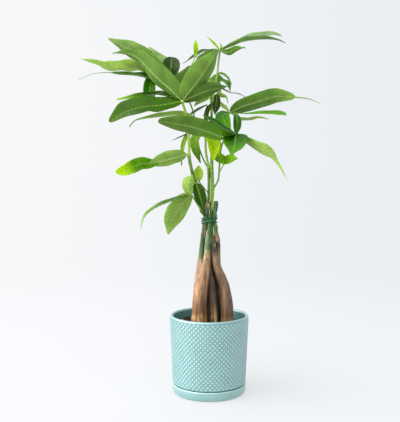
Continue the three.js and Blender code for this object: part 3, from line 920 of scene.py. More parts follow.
@dataclass(frozen=True)
class Trunk:
    """One trunk or woody shoot, as [x, y, z, radius] points in millimetres with its colours by height."""

    node: str
    points: tuple[tuple[float, float, float, float], ...]
    colours: Stops
    green_from: float
    knots: tuple[Knot, ...] = ()
    joints: tuple[float, ...] = ()
    ridge: float = 0.06
    # How far the painted shade reaches from a neighbouring trunk, as a share of the radius.
    painted_shade_reach: float = 0.4
    sides: int = 56
    rows: int = 200
    slot: str = "bark"

    # Millimetres: where the grain is read, how softly the roughness and the green start, how far colours
    # wander up and down, and the gap that stands for "beside nothing". Grains are to a metre.
    SEAT = 9.0
    GREEN_FADE, GREEN_EDGE = 12, 6
    SWAY, SWAY_GRAINS = 5, (120, 120, 30)
    RIDGE_GRAINS = (170, 170, 9)
    WRINKLES, WRINKLE_GRAINS = 0.025, (420, 420, 26)
    PITS, PIT_GRAINS = 0.018, (260, 260, 120)
    GREEN_ROUGHNESS = 0.3
    JOINT_SWELL, JOINT_WIDTH = 0.16, 1.5
    FAR = 99.0

    def gap_to(self, spots: Array) -> Array:
        """Measures how far spots lie from this trunk's skin.

        Args:
            spots: places in millimetres, with x, y and z last.

        Returns:
            The level distance of each, in millimetres.
        """
        _, rows, _ = SmoothPath(self.points).walk(60)
        level = spots[..., 2]
        x, y, radius = (np.interp(level, rows[:, 2], rows[:, item]) for item in (0, 1, 3))
        gap = np.hypot(spots[..., 0] - x, spots[..., 1] - y) - radius
        return np.where((level < rows[0, 2]) | (level > rows[-1, 2]), self.FAR, gap)

    def skin(self, others: list["Trunk"]) -> tuple[Array, Array, Array]:
        """Works out the trunk's surface.

        Args:
            others: the trunks beside it; where they press close, the bark is darkened as painted shade.

        Returns:
            The rings, their colours, and their greenness with the darkening of scars, grooves and painted
            shade.
        """
        _, rows, directions = SmoothPath(self.points).walk(self.rows)
        radii, heights = rows[:, 3:], rows[:, 2:3]
        angles = np.arange(self.sides) * 2 * math.pi / self.sides
        around = np.broadcast_to(spokes(self.sides) * self.SEAT, (self.rows, self.sides, 2))
        above = np.broadcast_to(heights[:, :, None], (self.rows, self.sides, 1))
        seat = np.concatenate([around, above], axis=2) * MM
        offset = 3.7 * len(self.node)
        woody = 1 - smooth_step(self.green_from - self.GREEN_FADE, self.green_from + self.GREEN_FADE, heights)
        ridges = grain(seat, self.RIDGE_GRAINS, offset) * self.ridge
        wrinkles = grain(seat, self.WRINKLE_GRAINS, offset + 9) * self.WRINKLES
        pits = grain(seat, self.PIT_GRAINS, offset + 4) * self.PITS
        rough = self.GREEN_ROUGHNESS + (1 - self.GREEN_ROUGHNESS) * woody
        swell = 1 + (ridges + wrinkles + pits) * rough
        for joint in self.joints:
            swell = swell + self.JOINT_SWELL * np.exp(-(((heights - joint) / self.JOINT_WIDTH) ** 2))
        darkening = np.clip(-ridges / self.ridge - 0.35, 0, 1) * 0.5 * woody
        for knot in self.knots:
            turn = (angles - math.radians(knot.facing) + math.pi) % (2 * math.pi) - math.pi
            reach = np.hypot(turn * radii, heights - knot.height) / knot.size
            dent = 1 - 1.5 * np.exp(-((reach * 2.6) ** 2))
            swell = swell + (knot.rise / radii) * np.exp(-(reach**2)) * dent
            darkening = np.maximum(darkening, knot.hollow * np.exp(-((reach * 1.9) ** 2)))
        rings = round_rings(rows[:, :3] * MM, directions, radii * swell * MM, self.sides)
        sway = heights + self.SWAY * grain(seat, self.SWAY_GRAINS, offset + 2)
        growth = np.zeros(rings.shape)
        edge = self.green_from - self.GREEN_EDGE, self.green_from + self.GREEN_EDGE
        growth[:, :, 0] = smooth_step(*edge, sway)
        # Painted shade: the bark darkens where another trunk comes near, in place of the shade between
        # trunks.
        gap = np.minimum.reduce([other.gap_to(rings / MM) for other in others])
        painted_crease_shade = 1 - smooth_step(0.3, 1.0, gap / (self.painted_shade_reach * radii + 0.7))
        growth[:, :, 1] = np.maximum(darkening, painted_crease_shade * (0.7 + 0.3 * woody))
        return rings, colours_at(self.colours, sway), growth

    def build(self, bark: Finish) -> Piece:
        """Builds the trunk as one closed skin, with its cut end rounded over.

        Args:
            bark: the finish.

        Returns:
            The new piece.
        """
        rings, tint, growth = self.skin([other for other in TRUNKS if other is not self])
        mesh = PieceMesh(f"{self.node}_bark")
        mesh.add_skin(rings, tint=tint, growth=growth)
        return mesh.build([bark], self.slot, self.node)


TRUNKS = [
    Trunk("trunk_front_left", (
        (-14, -20, 70, 10), (-15.2, -21, 112, 12), (-15.2, -21.5, 150, 11.6), (-12.8, -19, 178, 10),
        (-7, -15, 202, 7.8), (-3.5, -11, 222, 5.6), (-2.5, -9, 236, 4.2), (-1.5, -7.5, 248, 3.8),
        (0.2, -5, 268, 3), (0.6, -4.6, 280, 2.5), (0.8, -4.6, 291, 2.3),
    ), (
        (112, "c49a68"), (124, "bc9060"), (131, "b0804e"), (136, "7c5632"), (148, "7e5838"),
        (158, "94704a"), (180, "9c744e"), (203, "9a7450"), (216, "84643f"), (222, "a08660"),
        (230, "a48c60"), (235, "5c7442"), (240, "4c6e3a"), (256, "5f8038"), (268, "4a7436"),
        (291, "4c6c40"),
    ), green_from=235, joints=(243,), knots=(
        Knot(150, 215, 2.2, 0.5), Knot(128, 285, 2.6, 0.6), Knot(236, 275, 1.8, 0.7),
        Knot(164, 250, 1.6, 0.5, 0.2), Knot(121, 208, 6, 3.2, 0),
    )),
    Trunk("trunk_back_left", (
        (-15.5, 5, 70, 9.6), (-16.5, 5, 115, 11.6), (-15.6, 5, 150, 11.2), (-14.5, 5, 178, 10),
        (-14, 5, 201, 8), (-12.9, 4, 216, 5.8), (-12.3, 3.5, 228, 4.5), (-10.5, 2.5, 246, 4.2),
        (-8.2, 1.2, 264, 4), (-6.6, 0.5, 280, 3.8), (-5, 0, 294, 4.4), (-4, -0.8, 302, 4.7),
        (-3.8, -1.4, 309, 5.1), (-3.6, -1.4, 313, 3.8),
    ), (
        (112, "7c583c"), (200, "b89880"), (216, "b4947c"), (222, "6c7448"), (230, "44683a"),
        (248, "4e6638"), (256, "806850"), (268, "56663c"), (280, "486644"), (298, "62704e"),
        (303, "d0b092"), (307, "7c6048"), (313, "b8a088"),
    ), green_from=222, joints=(299,), knots=(
        Knot(306, 262, 2.6, 1.2, 0.8), Knot(257, 200, 2, 0.6), Knot(311, 300, 1.6, 0.8, 0.8),
    )),
    Trunk("trunk_middle", (
        (7, -3, 70, 9.4), (7.2, -4, 115, 10.7), (5.6, -3.5, 150, 10.1), (4.2, -2, 180, 7.8),
        (3.6, 2, 204, 4), (2, 4.5, 226, 2.9), (-0.5, 6, 252, 2.5), (-2.2, 6.4, 272, 2.3),
        (-2.4, 6.4, 284, 2.3), (-1.8, 7, 302, 2.3), (-0.8, 7, 322, 2.3), (-0.6, 8, 346, 2.4),
        (-0.4, 9, 362, 3.1), (-0.4, 9, 367, 2.4),
    ), (
        (112, "c09a68"), (127, "b48c5c"), (137, "8c6a48"), (146, "5a4430"), (190, "56402c"),
        (215, "523e2a"), (240, "486428"), (290, "4c8018"), (330, "6e9c20"), (362, "7ca030"),
    ), green_from=232, joints=(322, 362), ridge=0.09, painted_shade_reach=0.9, knots=(
        Knot(120, 262, 4.2, 1.3, 0.9), Knot(128, 300, 2.4, 0.6), Knot(117, 285, 2, 0.8, 0.1),
    )),
    Trunk("trunk_right", (
        (27, -7, 70, 8.8), (28.6, -8, 115, 10.2), (27.8, -8, 147, 9.9), (24, -7, 173, 8.6),
        (19.5, -6, 187, 8), (14, -5, 201, 7), (10.6, -3.5, 214, 5.8), (8, -1, 230, 4.4), (6.4, 2, 243, 3.3),
        (4.4, 5.4, 260, 2.5), (3.6, 6.2, 274, 2.4), (3.4, 5.4, 286, 2.5), (3.4, 1.8, 300, 2.6),
        (5.2, 0.4, 325, 2.9), (4.8, 0, 347, 2.7), (4, 0.4, 372, 2.5), (4, 3, 410, 2.3), (3.5, 7, 450, 2.2),
        (3, 10, 484, 2.2),
    ), (
        # The dark stops at 230 and 244 are painted shade, for the shadow between this trunk and its
        # neighbours.
        (112, "a88258"), (121, "9c7850"), (128, "70503a"), (138, "70523a"), (150, "6e5540"),
        (190, "785d42"), (205, "88694a"), (220, "9c8260"), (230, "4c4434"), (244, "50503a"),
        (252, "4c6434"), (280, "6a9420"), (305, "78a408"), (345, "82b00c"), (372, "7caa20"),
        (430, "7ca238"), (484, "729c3c"),
    ), green_from=246, joints=(330, 372, 412, 463, 476), ridge=0.08, rows=300, knots=(
        Knot(226, 330, 2, 0.5), Knot(120, 255, 2.6, 0.7), Knot(205, 255, 1.8, 0.6, 0.1),
    )),
    Trunk("trunk_back_right", (
        (12, 20, 70, 7.6), (13.5, 19.5, 115, 9.2), (13.5, 18, 150, 8.6), (14, 15, 185, 6.4),
        (14.5, 12, 205, 4.5), (14.5, 10.5, 218, 3.9), (14.5, 9.6, 234, 3.7), (13.4, 8.6, 244, 4),
        (12.4, 7.4, 251, 4.4), (11.4, 5, 259, 3.3), (9.4, 1.4, 270, 3), (7.7, -0.8, 280, 3),
        (8.6, 0.6, 290, 3.2), (10.4, 3.6, 301, 3.7), (11, 4.6, 308, 3.6), (11.2, 5, 311, 3),
    ), (
        (112, "70503a"), (200, "7c5e48"), (232, "8c6c50"), (238, "4a4a30"), (246, "54583a"),
        (250, "b8906c"), (257, "9c7450"), (262, "567434"), (280, "47743a"), (296, "4c7444"),
        (306, "486438"), (311, "5c6c48"),
    ), green_from=262, joints=(237, 247), knots=(
        Knot(243, 270, 2.6, 1, 0.8), Knot(240, 330, 2, 0.9, 0.6), Knot(269, 350, 3, 2.2, 0.5),
        Knot(252, 280, 2.6, 0.8, 0.3),
    )),
    Trunk("shoot_left", (
        (-6, 0, 287, 2.3), (-12, -4, 295, 2.8), (-14.5, -7, 306, 2.7), (-19.5, -10, 335, 2.6),
        (-26, -16, 353, 2.6), (-30.5, -22, 374, 2.6), (-32, -24, 384, 2.8), (-32, -25, 388, 2.1),
    ), (
        (284, "6c603c"), (292, "5c6c2c"), (298, "3c7410"), (330, "5a8a20"), (355, "5c7c2c"),
        (388, "7ca038"),
    ), green_from=294, joints=(296, 372), sides=32, rows=110, slot="green_stem"),
]


# ---- leaves ----


class LeafTone(Enum):
    """The colours that a leaflet may have, as (upper side, underside)."""

    NIGHT = ("1a2e16", "2a4426")
    DEEP = ("1c3c06", "3a5a1a")
    DARK = ("2c4e10", "42661f")
    FOREST = ("165200", "2c6408")
    GREY = ("3c5e14", "587a30")
    FADED = ("48681c", "68883a")
    SAGE = ("507420", "74924a")
    GREEN = ("2e5e04", "5f8a2c")
    OLIVE = ("305800", "587a14")
    VIVID = ("2a6a00", "5a8e14")
    BRIGHT = ("4a8400", "74a020")
    FRESH = ("78aa00", "94b820")
    LIME = ("a0c400", "a8c820")
    TENDER = ("a4c03c", "b0cc5c")
    SPRING = ("7ca030", "9cbc54")
    PALE = ("6c9428", "8caa50")
    MIST = ("9cb47c", "b0c890")

    def of(self, side: BladeSide) -> str:
        """The paint code of one side."""
        return self.value[list(BladeSide).index(side)]


@dataclass(frozen=True)
class Leaflet:
    """One blade of a palmate leaf, from the hub through its bends to its drip tip.

    Points and widths are in millimetres; places along the blade are shares of its length.

    Attributes:
        path: the bends after the hub, and last the tip.
        width: the widest that the blade gets.
        face: the way its upper side looks.
        tone: the colours near the hub.
        tip_tone: the colours near the tip, where they differ.
        turn: where the colours start and end their change.
        face_end: the way it looks at the tip, where the blade twists.
        start: where the blade starts, if it has a short stalk of its own from the hub.
        tail: the part that is only a thin tip.
        drip: half the width of that thin tip where it starts.
        widest: where the blade is widest.
        slimness: 1 for a full shape, more for a slimmer one.
        point: how much the last part narrows to a point.
        halves: the left and right half as shares of the full width, where one half turns away.
        cup: how far the edges curl up, as a share of the half width.
        fold: how steeply the halves rise from the midrib.
        ripple: how far the edges wave.
        waves: how many waves there are along the blade.
        veined: how deep the side veins are sunk, as a share of a large leaf's.
    """

    path: tuple[Point, ...]
    width: float
    face: Point
    tone: LeafTone = LeafTone.GREEN
    tip_tone: LeafTone | None = None
    turn: tuple[float, float] = (0.35, 0.9)
    face_end: Point | None = None
    start: Point | None = None
    tail: float = 0.0
    drip: float = 1.1
    widest: float = 0.48
    slimness: float = 1.2
    point: float = 0.55
    halves: tuple[float, float] = (1.0, 1.0)
    cup: float = 0.14
    fold: float = 0.06
    ripple: float = 0.05
    waves: float = 3.0
    veined: float = 1.0

    # Gaps, depths and steps are in millimetres; fades and widths are shares. SPREAD is the row of places
    # from the midrib to the edge, and FULL_HALF the half width from which veins have their full depth.
    THICKNESS = 0.5
    VEIN_GAP = 7.5
    VEIN_LEAN = 1.0
    VEIN_CURVE = 0.006
    VEIN_WIDTH = 0.16
    VEIN_DEPTH = 0.55
    VEIN_FADE = 0.6
    RIB_DEPTH = 0.55
    RIB_FADE = 0.65
    RIB_SINK, RIB_LEAST = 0.25, 0.15
    PUCKER = 0.2
    EDGE_THINNING = 0.75
    FULL_HALF = 12
    RING_STEP = 1.5
    SPREAD = np.array((0.0, 0.045, 0.11, 0.22, 0.36, 0.5, 0.64, 0.78, 0.9, 1.0))

    def outline(self, share: Array) -> Array:
        """Shapes the blade.

        Args:
            share: places along it.

        Returns:
            The width there, as a share of the widest.
        """
        blade = np.minimum(share / (1 - self.tail), 1)
        rise = (blade / self.widest) ** (self.slimness * self.widest)
        fall = ((1 - blade) / (1 - self.widest)) ** (self.slimness * (1 - self.widest))
        return rise * fall * (1 - self.point * smooth_step(0.62, 1.0, blade))

    def tints(self, share: Array, side: BladeSide) -> Array:
        """One side's colours along the blade."""
        codes = self.tone.of(side), (self.tip_tone or self.tone).of(side)
        return colours_at(list(zip(self.turn, codes)), share)[:, None]

    def add_to(self, mesh: PieceMesh, hub: Point, seed: float) -> None:
        """Adds the blade to a leaf's mesh: upper side in slot 0, underside in slot 1.

        Args:
            mesh: the leaf's mesh.
            hub: where the leaflets meet.
            seed: moves the ripples, so that no two blades match.
        """
        path = SmoothPath([self.start or hub, *self.path])
        share, centre, along = path.walk(int(np.clip(path.length / self.RING_STEP, 22, 110)))
        here = share[:, None]
        ends = np.array([self.face, self.face_end or self.face], float)
        facing = ends[0] + (ends[1] - ends[0]) * here
        facing = unit(facing - along * np.sum(facing * along, axis=1, keepdims=True))
        aside = np.cross(along, facing)
        drip = 0.3 + self.drip * np.minimum((1 - share) / (self.tail + 0.02), 1)
        half = np.maximum(0.5 * self.width * self.outline(share), drip)[:, None]
        across = np.concatenate([-self.SPREAD[:0:-1], self.SPREAD])
        out = np.abs(across)
        off = across * half * np.where(across < 0, *self.halves)
        count = here * path.length / self.VEIN_GAP
        count = count - (np.abs(off) * self.VEIN_LEAN + off**2 * self.VEIN_CURVE) / self.VEIN_GAP
        beat = np.abs(count - np.round(count))
        slim = np.clip(half / self.FULL_HALF, 0, 1)
        sunk = self.veined * slim
        veins = np.exp(-((beat / self.VEIN_WIDTH) ** 2)) * (1 - self.VEIN_FADE * out) * sunk
        rib = np.exp(-((off / (0.5 + 0.5 * slim)) ** 2)) * (1 - self.RIB_FADE * here)
        wave = np.sin(2 * math.pi * self.waves * here + seed + 1.3 * np.sign(across))
        edge = out**2.2 * half * np.sin(math.pi * here) ** 0.5
        lift = (self.cup * across**2 + self.fold * out) * half + self.ripple * edge * wave
        pucker = self.PUCKER * np.cos(2 * math.pi * count) * sunk * (1 - across**2)
        lift = lift - self.VEIN_DEPTH * veins - pucker
        half_thick = self.THICKNESS * (1 - self.EDGE_THINNING * across**2) / 2
        keel = (self.RIB_DEPTH * slim + self.RIB_LEAST) * rib
        rises = (lift + half_thick - self.RIB_SINK * rib, lift - half_thick - keel)
        flat = centre[:, None] + aside[:, None] * off[:, :, None]
        upper, under = ((flat + facing[:, None] * rise[:, :, None]) * MM for rise in rises)
        blade = np.stack([count, out + 0 * count, rib], axis=2)
        tints = (np.broadcast_to(self.tints(share, side), upper.shape) for side in BladeSide)
        rings, blades, tint = (np.concatenate([first, second[:, -2:0:-1]], axis=1)
                               for first, second in ((upper, under), (blade, blade), tints))
        mesh.add_skin(rings, np.repeat((0, 1), len(across) - 1), tint=tint, blade=blades)


@dataclass(frozen=True)
class PalmateLeaf:
    """A leaf: its stalk from the stem to the hub, and its leaflets."""

    node: str
    stalk: tuple[Point, ...]
    leaflets: tuple[Leaflet, ...]
    stalk_radius: float = 1.5
    stalk_colours: tuple[str, str] = ("86b040", "96b45c")
    slot: str = "leaf"

    STALK_SLOT = 2
    FOOT_SWELL, FOOT_LENGTH = 0.45, 3.5
    HUB_SWELL, HUB_LENGTH = 0.5, 2.2
    KNOB_RADIUS, KNOB_PROUD = 2.1, 0.3
    SHORT_STALK_RADIUS = 0.8

    def add_green(self, mesh: PieceMesh, rings: Array, tint: Array | None = None) -> None:
        """Adds a part in the stalk's finish, in the hub's colour unless it has its own."""
        colour = srgb(self.stalk_colours[1]) if tint is None else tint
        mesh.add_skin(rings, self.STALK_SLOT, tint=colour, blade=0.0)

    def add_stalk(self, mesh: PieceMesh) -> None:
        """Adds the stalk, swollen where it joins the stem and at the hub, with the knob on its end.

        Args:
            mesh: the leaf's mesh.
        """
        path = SmoothPath(self.stalk)
        share, centre, along = path.walk(max(16, int(path.length / 2)))
        reach = share * path.length
        foot = self.FOOT_SWELL * np.exp(-((reach / self.FOOT_LENGTH) ** 2))
        head = self.HUB_SWELL * np.exp(-(((path.length - reach) / self.HUB_LENGTH) ** 2))
        radii = self.stalk_radius * (1 + (foot + head))
        rings = round_rings(centre * MM, along, radii[:, None] * MM, 14)
        self.add_green(mesh, rings, colours_at(tuple(enumerate(self.stalk_colours)), share)[:, None])
        radius = max(self.KNOB_RADIUS, self.stalk_radius + self.KNOB_PROUD)
        knob = ball(0.2, 8, 12) * (1, 1, -1) * radius
        self.add_green(mesh, (np.array(self.stalk[-1]) + knob) * MM)

    def add_short_stalk(self, mesh: PieceMesh, start: Point) -> None:
        """Adds the thin short stalk of a leaflet that stands off the hub.

        Args:
            mesh: the leaf's mesh.
            start: where the leaflet starts.
        """
        hub, end = np.array(self.stalk[-1], float), np.array(start, float)
        share = np.linspace(0, 1.04, 12)[:, None]
        along = np.repeat(unit(end - hub)[None, :], 12, axis=0)
        rings = round_rings((hub + (end - hub) * share) * MM, along, self.SHORT_STALK_RADIUS * MM, 10)
        self.add_green(mesh, rings)

    def build(self, finishes: list[Finish]) -> Piece:
        """Builds the leaf as one piece with its stalk, hub and blades.

        Args:
            finishes: those of the upper side, the underside and the stalk.

        Returns:
            The new piece.
        """
        mesh = PieceMesh(f"{self.node}_blades")
        self.add_stalk(mesh)
        for index, leaflet in enumerate(self.leaflets):
            if leaflet.start:
                self.add_short_stalk(mesh, leaflet.start)
            leaflet.add_to(mesh, self.stalk[-1], 1.7 * index + len(self.node))
        return mesh.build(finishes, self.slot, self.node)


# Short names for the table of leaves: a face that looks up, and the tones.
FLAT = (0, -0.17, 0.98)
T = LeafTone

LEAVES = [
    PalmateLeaf("leaf_upper_left", ((-32, -24.6, 384), (-32, -29, 408), (-35, -36, 442), (-42, -40, 467)), (
        Leaflet(((-59, -38, 484), (-78, -33, 501), (-95, -27, 518), (-113, -20, 537), (-133, -14, 545),
                (-154, -10, 545)), 52, (0.4, 0.85, 0.35), T.GREY, widest=0.34, slimness=1.4,
                halves=(0.85, 0.5)),
        Leaflet(((-13, -52, 502), (14, -62, 543)), 43, (-0.4, 0.85, 0.35), T.FADED, slimness=1,
                halves=(0.85, 0.95), fold=0.28),
        Leaflet(((-7, -35, 482), (28, -18, 492)), 28, (0, 0.75, 0.65), T.GREY),
        Leaflet(((-39, -22, 492), (-31, -8, 526)), 46, (0, 0.9, -0.4), T.DEEP, slimness=0.9),
        Leaflet(((-50, -16, 493), (-56, -2, 512)), 28, (0, 0.9, -0.4), T.DEEP, slimness=0.9),
        Leaflet(((-70, -55, 460), (-101, -75, 455), (-125, -98, 445), (-144, -112, 430)), 46,
                (-0.1, -0.72, 0.7), T.OLIVE, widest=0.56, slimness=1, point=0.45),
        Leaflet(((-77, -30, 479), (-109, -20, 476), (-145, -30, 470)), 28, (0, -0.35, 0.93), T.DEEP,
                T.SPRING, turn=(0.6, 0.9), widest=0.7, slimness=0.9),
    ), stalk_radius=2.1, stalk_colours=("9cbc38", "b0c858")),
    PalmateLeaf("leaf_back_left", (
        (-1, 10.4, 363), (-9, 12, 377), (-16, 13, 395), (-20, 15, 415), (-24, 18, 445), (-34, 22, 474),
        (-67, 15, 506),
    ), (
        Leaflet(((-102, 35, 541), (-135, 50, 562), (-170, 60, 581)), 34, (0.4, 0.8, 0.45), T.GREY, T.SAGE,
                widest=0.5, slimness=1.15, point=0.5),
        Leaflet(((-112, 15, 526), (-142, 20, 528), (-167, 27, 529), (-183, 27, 535), (-212, 30, 543)), 29,
                (0.1, 0.5, 0.85), T.SPRING, tail=0.04, ripple=0.1, waves=4.5, widest=0.42, slimness=1,
                point=0.3),
        Leaflet(((-95, 8, 508), (-114, 3, 512), (-142, -2, 514), (-167, -8, 515), (-185, -15, 512),
                (-204, -25, 502)), 40, (0, -0.36, 0.93), T.DARK, T.GREY, tail=0.36, ripple=0.2, waves=2,
                widest=0.36, slimness=0.9),
        Leaflet(((-82, 45, 539), (-102, 75, 570)), 38, (0.1, 0.7, -0.7), T.SAGE, fold=0.3),
        Leaflet(((-62, 8, 523), (-61, 20, 544)), 28, (0.1, -0.8, 0.55), T.NIGHT, widest=0.55, slimness=1.25,
                point=0, cup=0.2),
        Leaflet(((-86, 12, 512), (-95, 8, 499), (-96, 6, 472)), 20, (0, -0.9, 0.3), T.VIVID, widest=0.7,
                slimness=0.7, point=0, fold=0.2),
    ), stalk_radius=1.3, stalk_colours=("5c8a2c", "6c9440")),
    PalmateLeaf("leaf_top", ((3, 10, 480), (11, 10, 505), (15, 8, 537), (17, 5, 552)), (
        Leaflet(((36, 0, 558), (52, -4, 564), (67, -6, 566), (88, -8, 567), (108, -9, 565),
                (120, -10, 560)), 22, (0, -0.32, 0.94), T.OLIVE, fold=0.25, widest=0.45, slimness=0.9,
                veined=0.1),
        Leaflet(((49, 20, 569), (69, 30, 577), (89, 38, 582), (106, 44, 585), (120, 48, 582)), 17,
                (-0.1, 0.5, 0.85), T.MIST, widest=0.6, slimness=1, ripple=0.12, veined=0.2),
        Leaflet(((29, -8, 546), (43, -18, 551), (56, -30, 550)), 12, (0.3, 0.62, 0.7), T.GREEN, widest=0.3,
                slimness=0.9, veined=0.2),
        Leaflet(((-2, 0, 545), (-15, -4, 535), (-26, -5, 524)), 20, (-0.5, -0.6, 0.6), T.DARK),
        Leaflet(((-7, 30, 556), (-27, 55, 549), (-45, 75, 541)), 15, FLAT, T.GREY, widest=0.35),
        Leaflet(((6, 2, 563), (-4, 0, 573)), 7, (0.6, -0.6, 0.5), T.LIME),
        Leaflet(((19, 6, 558), (17, 8, 564)), 4, (0.6, -0.6, 0.3), T.LIME),
    )),
    PalmateLeaf("leaf_back_right", ((3.4, 8, 462), (8, 20, 488), (11, 33, 506), (14, 40, 519)), (
        Leaflet(((18, 42, 520), (28, 50, 516), (38, 60, 504)), 11, (0.3, -0.6, 0.7), T.PALE),
        Leaflet(((19, 34, 509), (29, 28, 503), (34, 20, 489)), 12, (0.3, -0.6, 0.7), T.VIVID),
        Leaflet(((14, 46, 503), (31, 60, 492), (49, 72, 490), (65, 85, 484)), 9, FLAT, T.DARK),
        Leaflet(((17, 32, 485), (27, 26, 480), (30, 20, 469)), 10, (0.3, 0.6, 0.6), T.PALE),
        Leaflet(((11, 31, 469), (9, 26, 451)), 14, (0.1, -0.9, 0.3), T.NIGHT, start=(13, 36, 486),
                slimness=1),
        Leaflet(((-4, 36, 488), (-25, 34, 466)), 21, (0, 0.8, 0.5), T.PALE),
    )),
    PalmateLeaf("leaf_right", ((4, 3.4, 412), (10, 9, 430), (20, 16, 445), (34, 20, 454)), (
        Leaflet(((50, 22, 463), (68, 28, 469), (88, 33, 476), (110, 40, 482), (132, 46, 482),
                (151, 50, 481), (168, 55, 479), (187, 60, 472)), 30, (-0.15, 0.85, 0.5), T.GREY, T.PALE,
                turn=(0.45, 0.7), tail=0.29, widest=0.5, slimness=0.75, point=0.2),
        Leaflet(((59, 5, 451), (78, 0, 451), (96, -8, 450), (121, -18, 447)), 20, (0.1, -0.42, 0.9),
                T.BRIGHT, widest=0.8, slimness=2.3, point=0, fold=0.2, veined=0.2),
        Leaflet(((50, 14, 443), (66, 18, 443), (82, 22, 446), (97, 26, 444)), 13, (0, 0.35, 0.93), T.PALE),
        Leaflet(((44, -10, 437), (42, -16, 418)), 14, (0.3, -0.9, 0.2), T.FOREST, start=(43, -2, 450),
                slimness=0.9, point=0.2),
        Leaflet(((22, -8, 445), (34, -30, 419)), 23, (-0.3, -0.85, 0.4), T.VIVID, T.BRIGHT, slimness=1,
                fold=0.25),
        Leaflet(((21, 38, 466), (4, 60, 473)), 18, (0, 0.7, 0.7), T.PALE),
    )),
    PalmateLeaf("leaf_front_right", (
        (5.2, 0.4, 330), (9, 3, 335), (14, 6, 344), (16, 8, 361), (17.5, 5, 388), (23, -10, 407),
        (41, -35, 417),
    ), (
        Leaflet(((75, -48, 395), (92, -58, 386), (104, -65, 370), (117, -72, 346)), 26, (0.5, 0.55, 0.65),
                T.FOREST, T.PALE, turn=(0.14, 0.32), tail=0.22, widest=0.58, slimness=2, point=0.3,
                drip=3.4),
        Leaflet(((39, -58, 401), (32, -84, 381)), 38, (0, -0.65, 0.76), T.FOREST, T.BRIGHT, turn=(0.2, 0.8),
                widest=0.3, slimness=1.35),
        Leaflet(((19, -48, 413), (-7, -63, 421), (-36, -74, 428), (-76, -85, 434)), 35, (0, 0.72, 0.69),
                T.VIVID, T.GREY, turn=(0.3, 0.5), widest=0.6, slimness=1, point=0.3),
        Leaflet(((22, -62, 424), (6, -72, 434), (-10, -78, 443)), 15, (0.35, -0.65, 0.65), T.FOREST,
                slimness=0.9, point=0.2),
    ), stalk_colours=("7ca43c", "5c8a2c")),
    PalmateLeaf("leaf_centre", ((0, 7, 364), (-4, 4, 380), (-6, 0, 398), (-6, -4, 412), (-7, -8, 428)), (
        Leaflet(((-42, -14, 449), (-70, -18, 448), (-99, -24, 443), (-116, -28, 438), (-125, -34, 427)), 12,
                (0, 0.6, 0.8), T.PALE, widest=0.35),
        Leaflet(((-34, 5, 419), (-61, 20, 409)), 14, FLAT, T.DEEP),
        Leaflet(((-23, -6, 410), (-21, -5, 393), (-14, 0, 372)), 15, (-0.2, -0.9, 0), T.SPRING, T.GREEN),
        Leaflet(((6, -20, 404), (6, -26, 375)), 20, (0.2, -0.95, 0.2), T.LIME, slimness=0.8, fold=0.25),
        Leaflet(((14, -12, 405), (15, -14, 383)), 9, (-0.2, -0.95, 0.2), T.LIME),
        Leaflet(((14, -3, 439), (35, 3, 434)), 15, (0, -0.6, 0.8), T.DEEP),
        Leaflet(((-31, 3, 421), (-41, 4, 405), (-45, 4, 368)), 8, (-0.3, -0.9, 0.2), T.SPRING),
        Leaflet(((-4, -6, 455), (8, -4, 471)), 10, (0.7, -0.6, 0.3), T.DEEP),
        Leaflet(((-18, -2, 457), (-36, -6, 445)), 9, (-0.3, -0.5, 0.8), T.DEEP, start=(-4, 1, 465),
                slimness=1),
    ), stalk_radius=1.9, stalk_colours=("8cb040", "a0c44c")),
    PalmateLeaf("leaf_low_left", ((-32, -24.6, 385), (-33.5, -25, 385.5), (-36, -25.5, 385)), (
        Leaflet(((-54, -28, 381), (-72, -32, 376), (-95, -36, 370)), 26, (0, 0.85, 0.5), T.PALE,
                widest=0.45, slimness=1, point=0.3),
        Leaflet(((-92, -36, 371), (-106, -40, 371), (-119, -46, 365), (-131, -50, 360), (-144, -53, 358)),
                22, (-0.1, -0.95, 0.3), T.BRIGHT, T.LIME, turn=(0.55, 0.8), start=(-78, -33, 373),
                widest=0.55, slimness=1.1, point=0.1),
        Leaflet(((-60, -4, 386), (-84, 20, 379)), 20, (0, 0, 1)),
    )),
    PalmateLeaf("leaf_lowest", ((-12, -4, 295), (-16.5, -12, 303), (-23, -18, 314), (-29, -24, 323)), (
        Leaflet(((-58, -36, 314), (-87, -50, 301), (-100, -58, 288), (-105, -62, 271)), 22,
                (-0.3, -0.28, 0.9), T.GREEN, T.PALE, face_end=(-0.9, -0.3, 0.4)),
        Leaflet(((-42, -22, 309), (-58, -18, 282), (-66, -14, 258)), 33, (-0.3, 0.93, 0.2), T.PALE,
                slimness=1),
        Leaflet(((-33, -28, 338), (-26, -30, 354)), 21, (0.2, 0.95, 0), T.PALE, slimness=0.9),
        Leaflet(((-16, -40, 326), (-9, -43, 299)), 20, (0.2, -0.9, 0.4), T.DEEP, start=(-21, -36, 341),
                slimness=1),
    ), stalk_colours=("6c8c30", "8cb04c")),
    PalmateLeaf("leaf_small_right", ((16, 8, 357), (20, 6, 364), (24, 4, 372)), (
        Leaflet(((34, -8, 378), (45, -16, 379)), 19, (0.1, -0.9, 0.45), T.FRESH, start=(21, 4, 375),
                slimness=1),
        Leaflet(((16, -6, 379), (4, -14, 381)), 20, (-0.1, -0.9, 0.45), T.FRESH, T.BRIGHT,
                start=(28, 2, 377), slimness=1),
    ), stalk_radius=1),
    PalmateLeaf("young_leaf_left", ((3.2, 9, 474), (-12, 20, 492), (-30, 20, 523), (-22, 18, 545)), (
        Leaflet(((-22, 18, 557), (-22, 22, 571)), 8, (0.2, -0.95, 0), T.LIME, slimness=0.8),
    ), stalk_radius=0.9, slot="young_leaf"),
    PalmateLeaf("young_leaf_low", ((-0.6, 6.2, 322), (-9, 3, 333), (-17, 0, 343)), (
        Leaflet(((-18, 1, 353), (-17, 2, 369)), 16, (0.2, -0.95, 0.1), T.TENDER, slimness=1),
    ), stalk_radius=1, stalk_colours=("6c8c30", "7ca040"), slot="young_leaf"),
]


# ---- twist tie ----


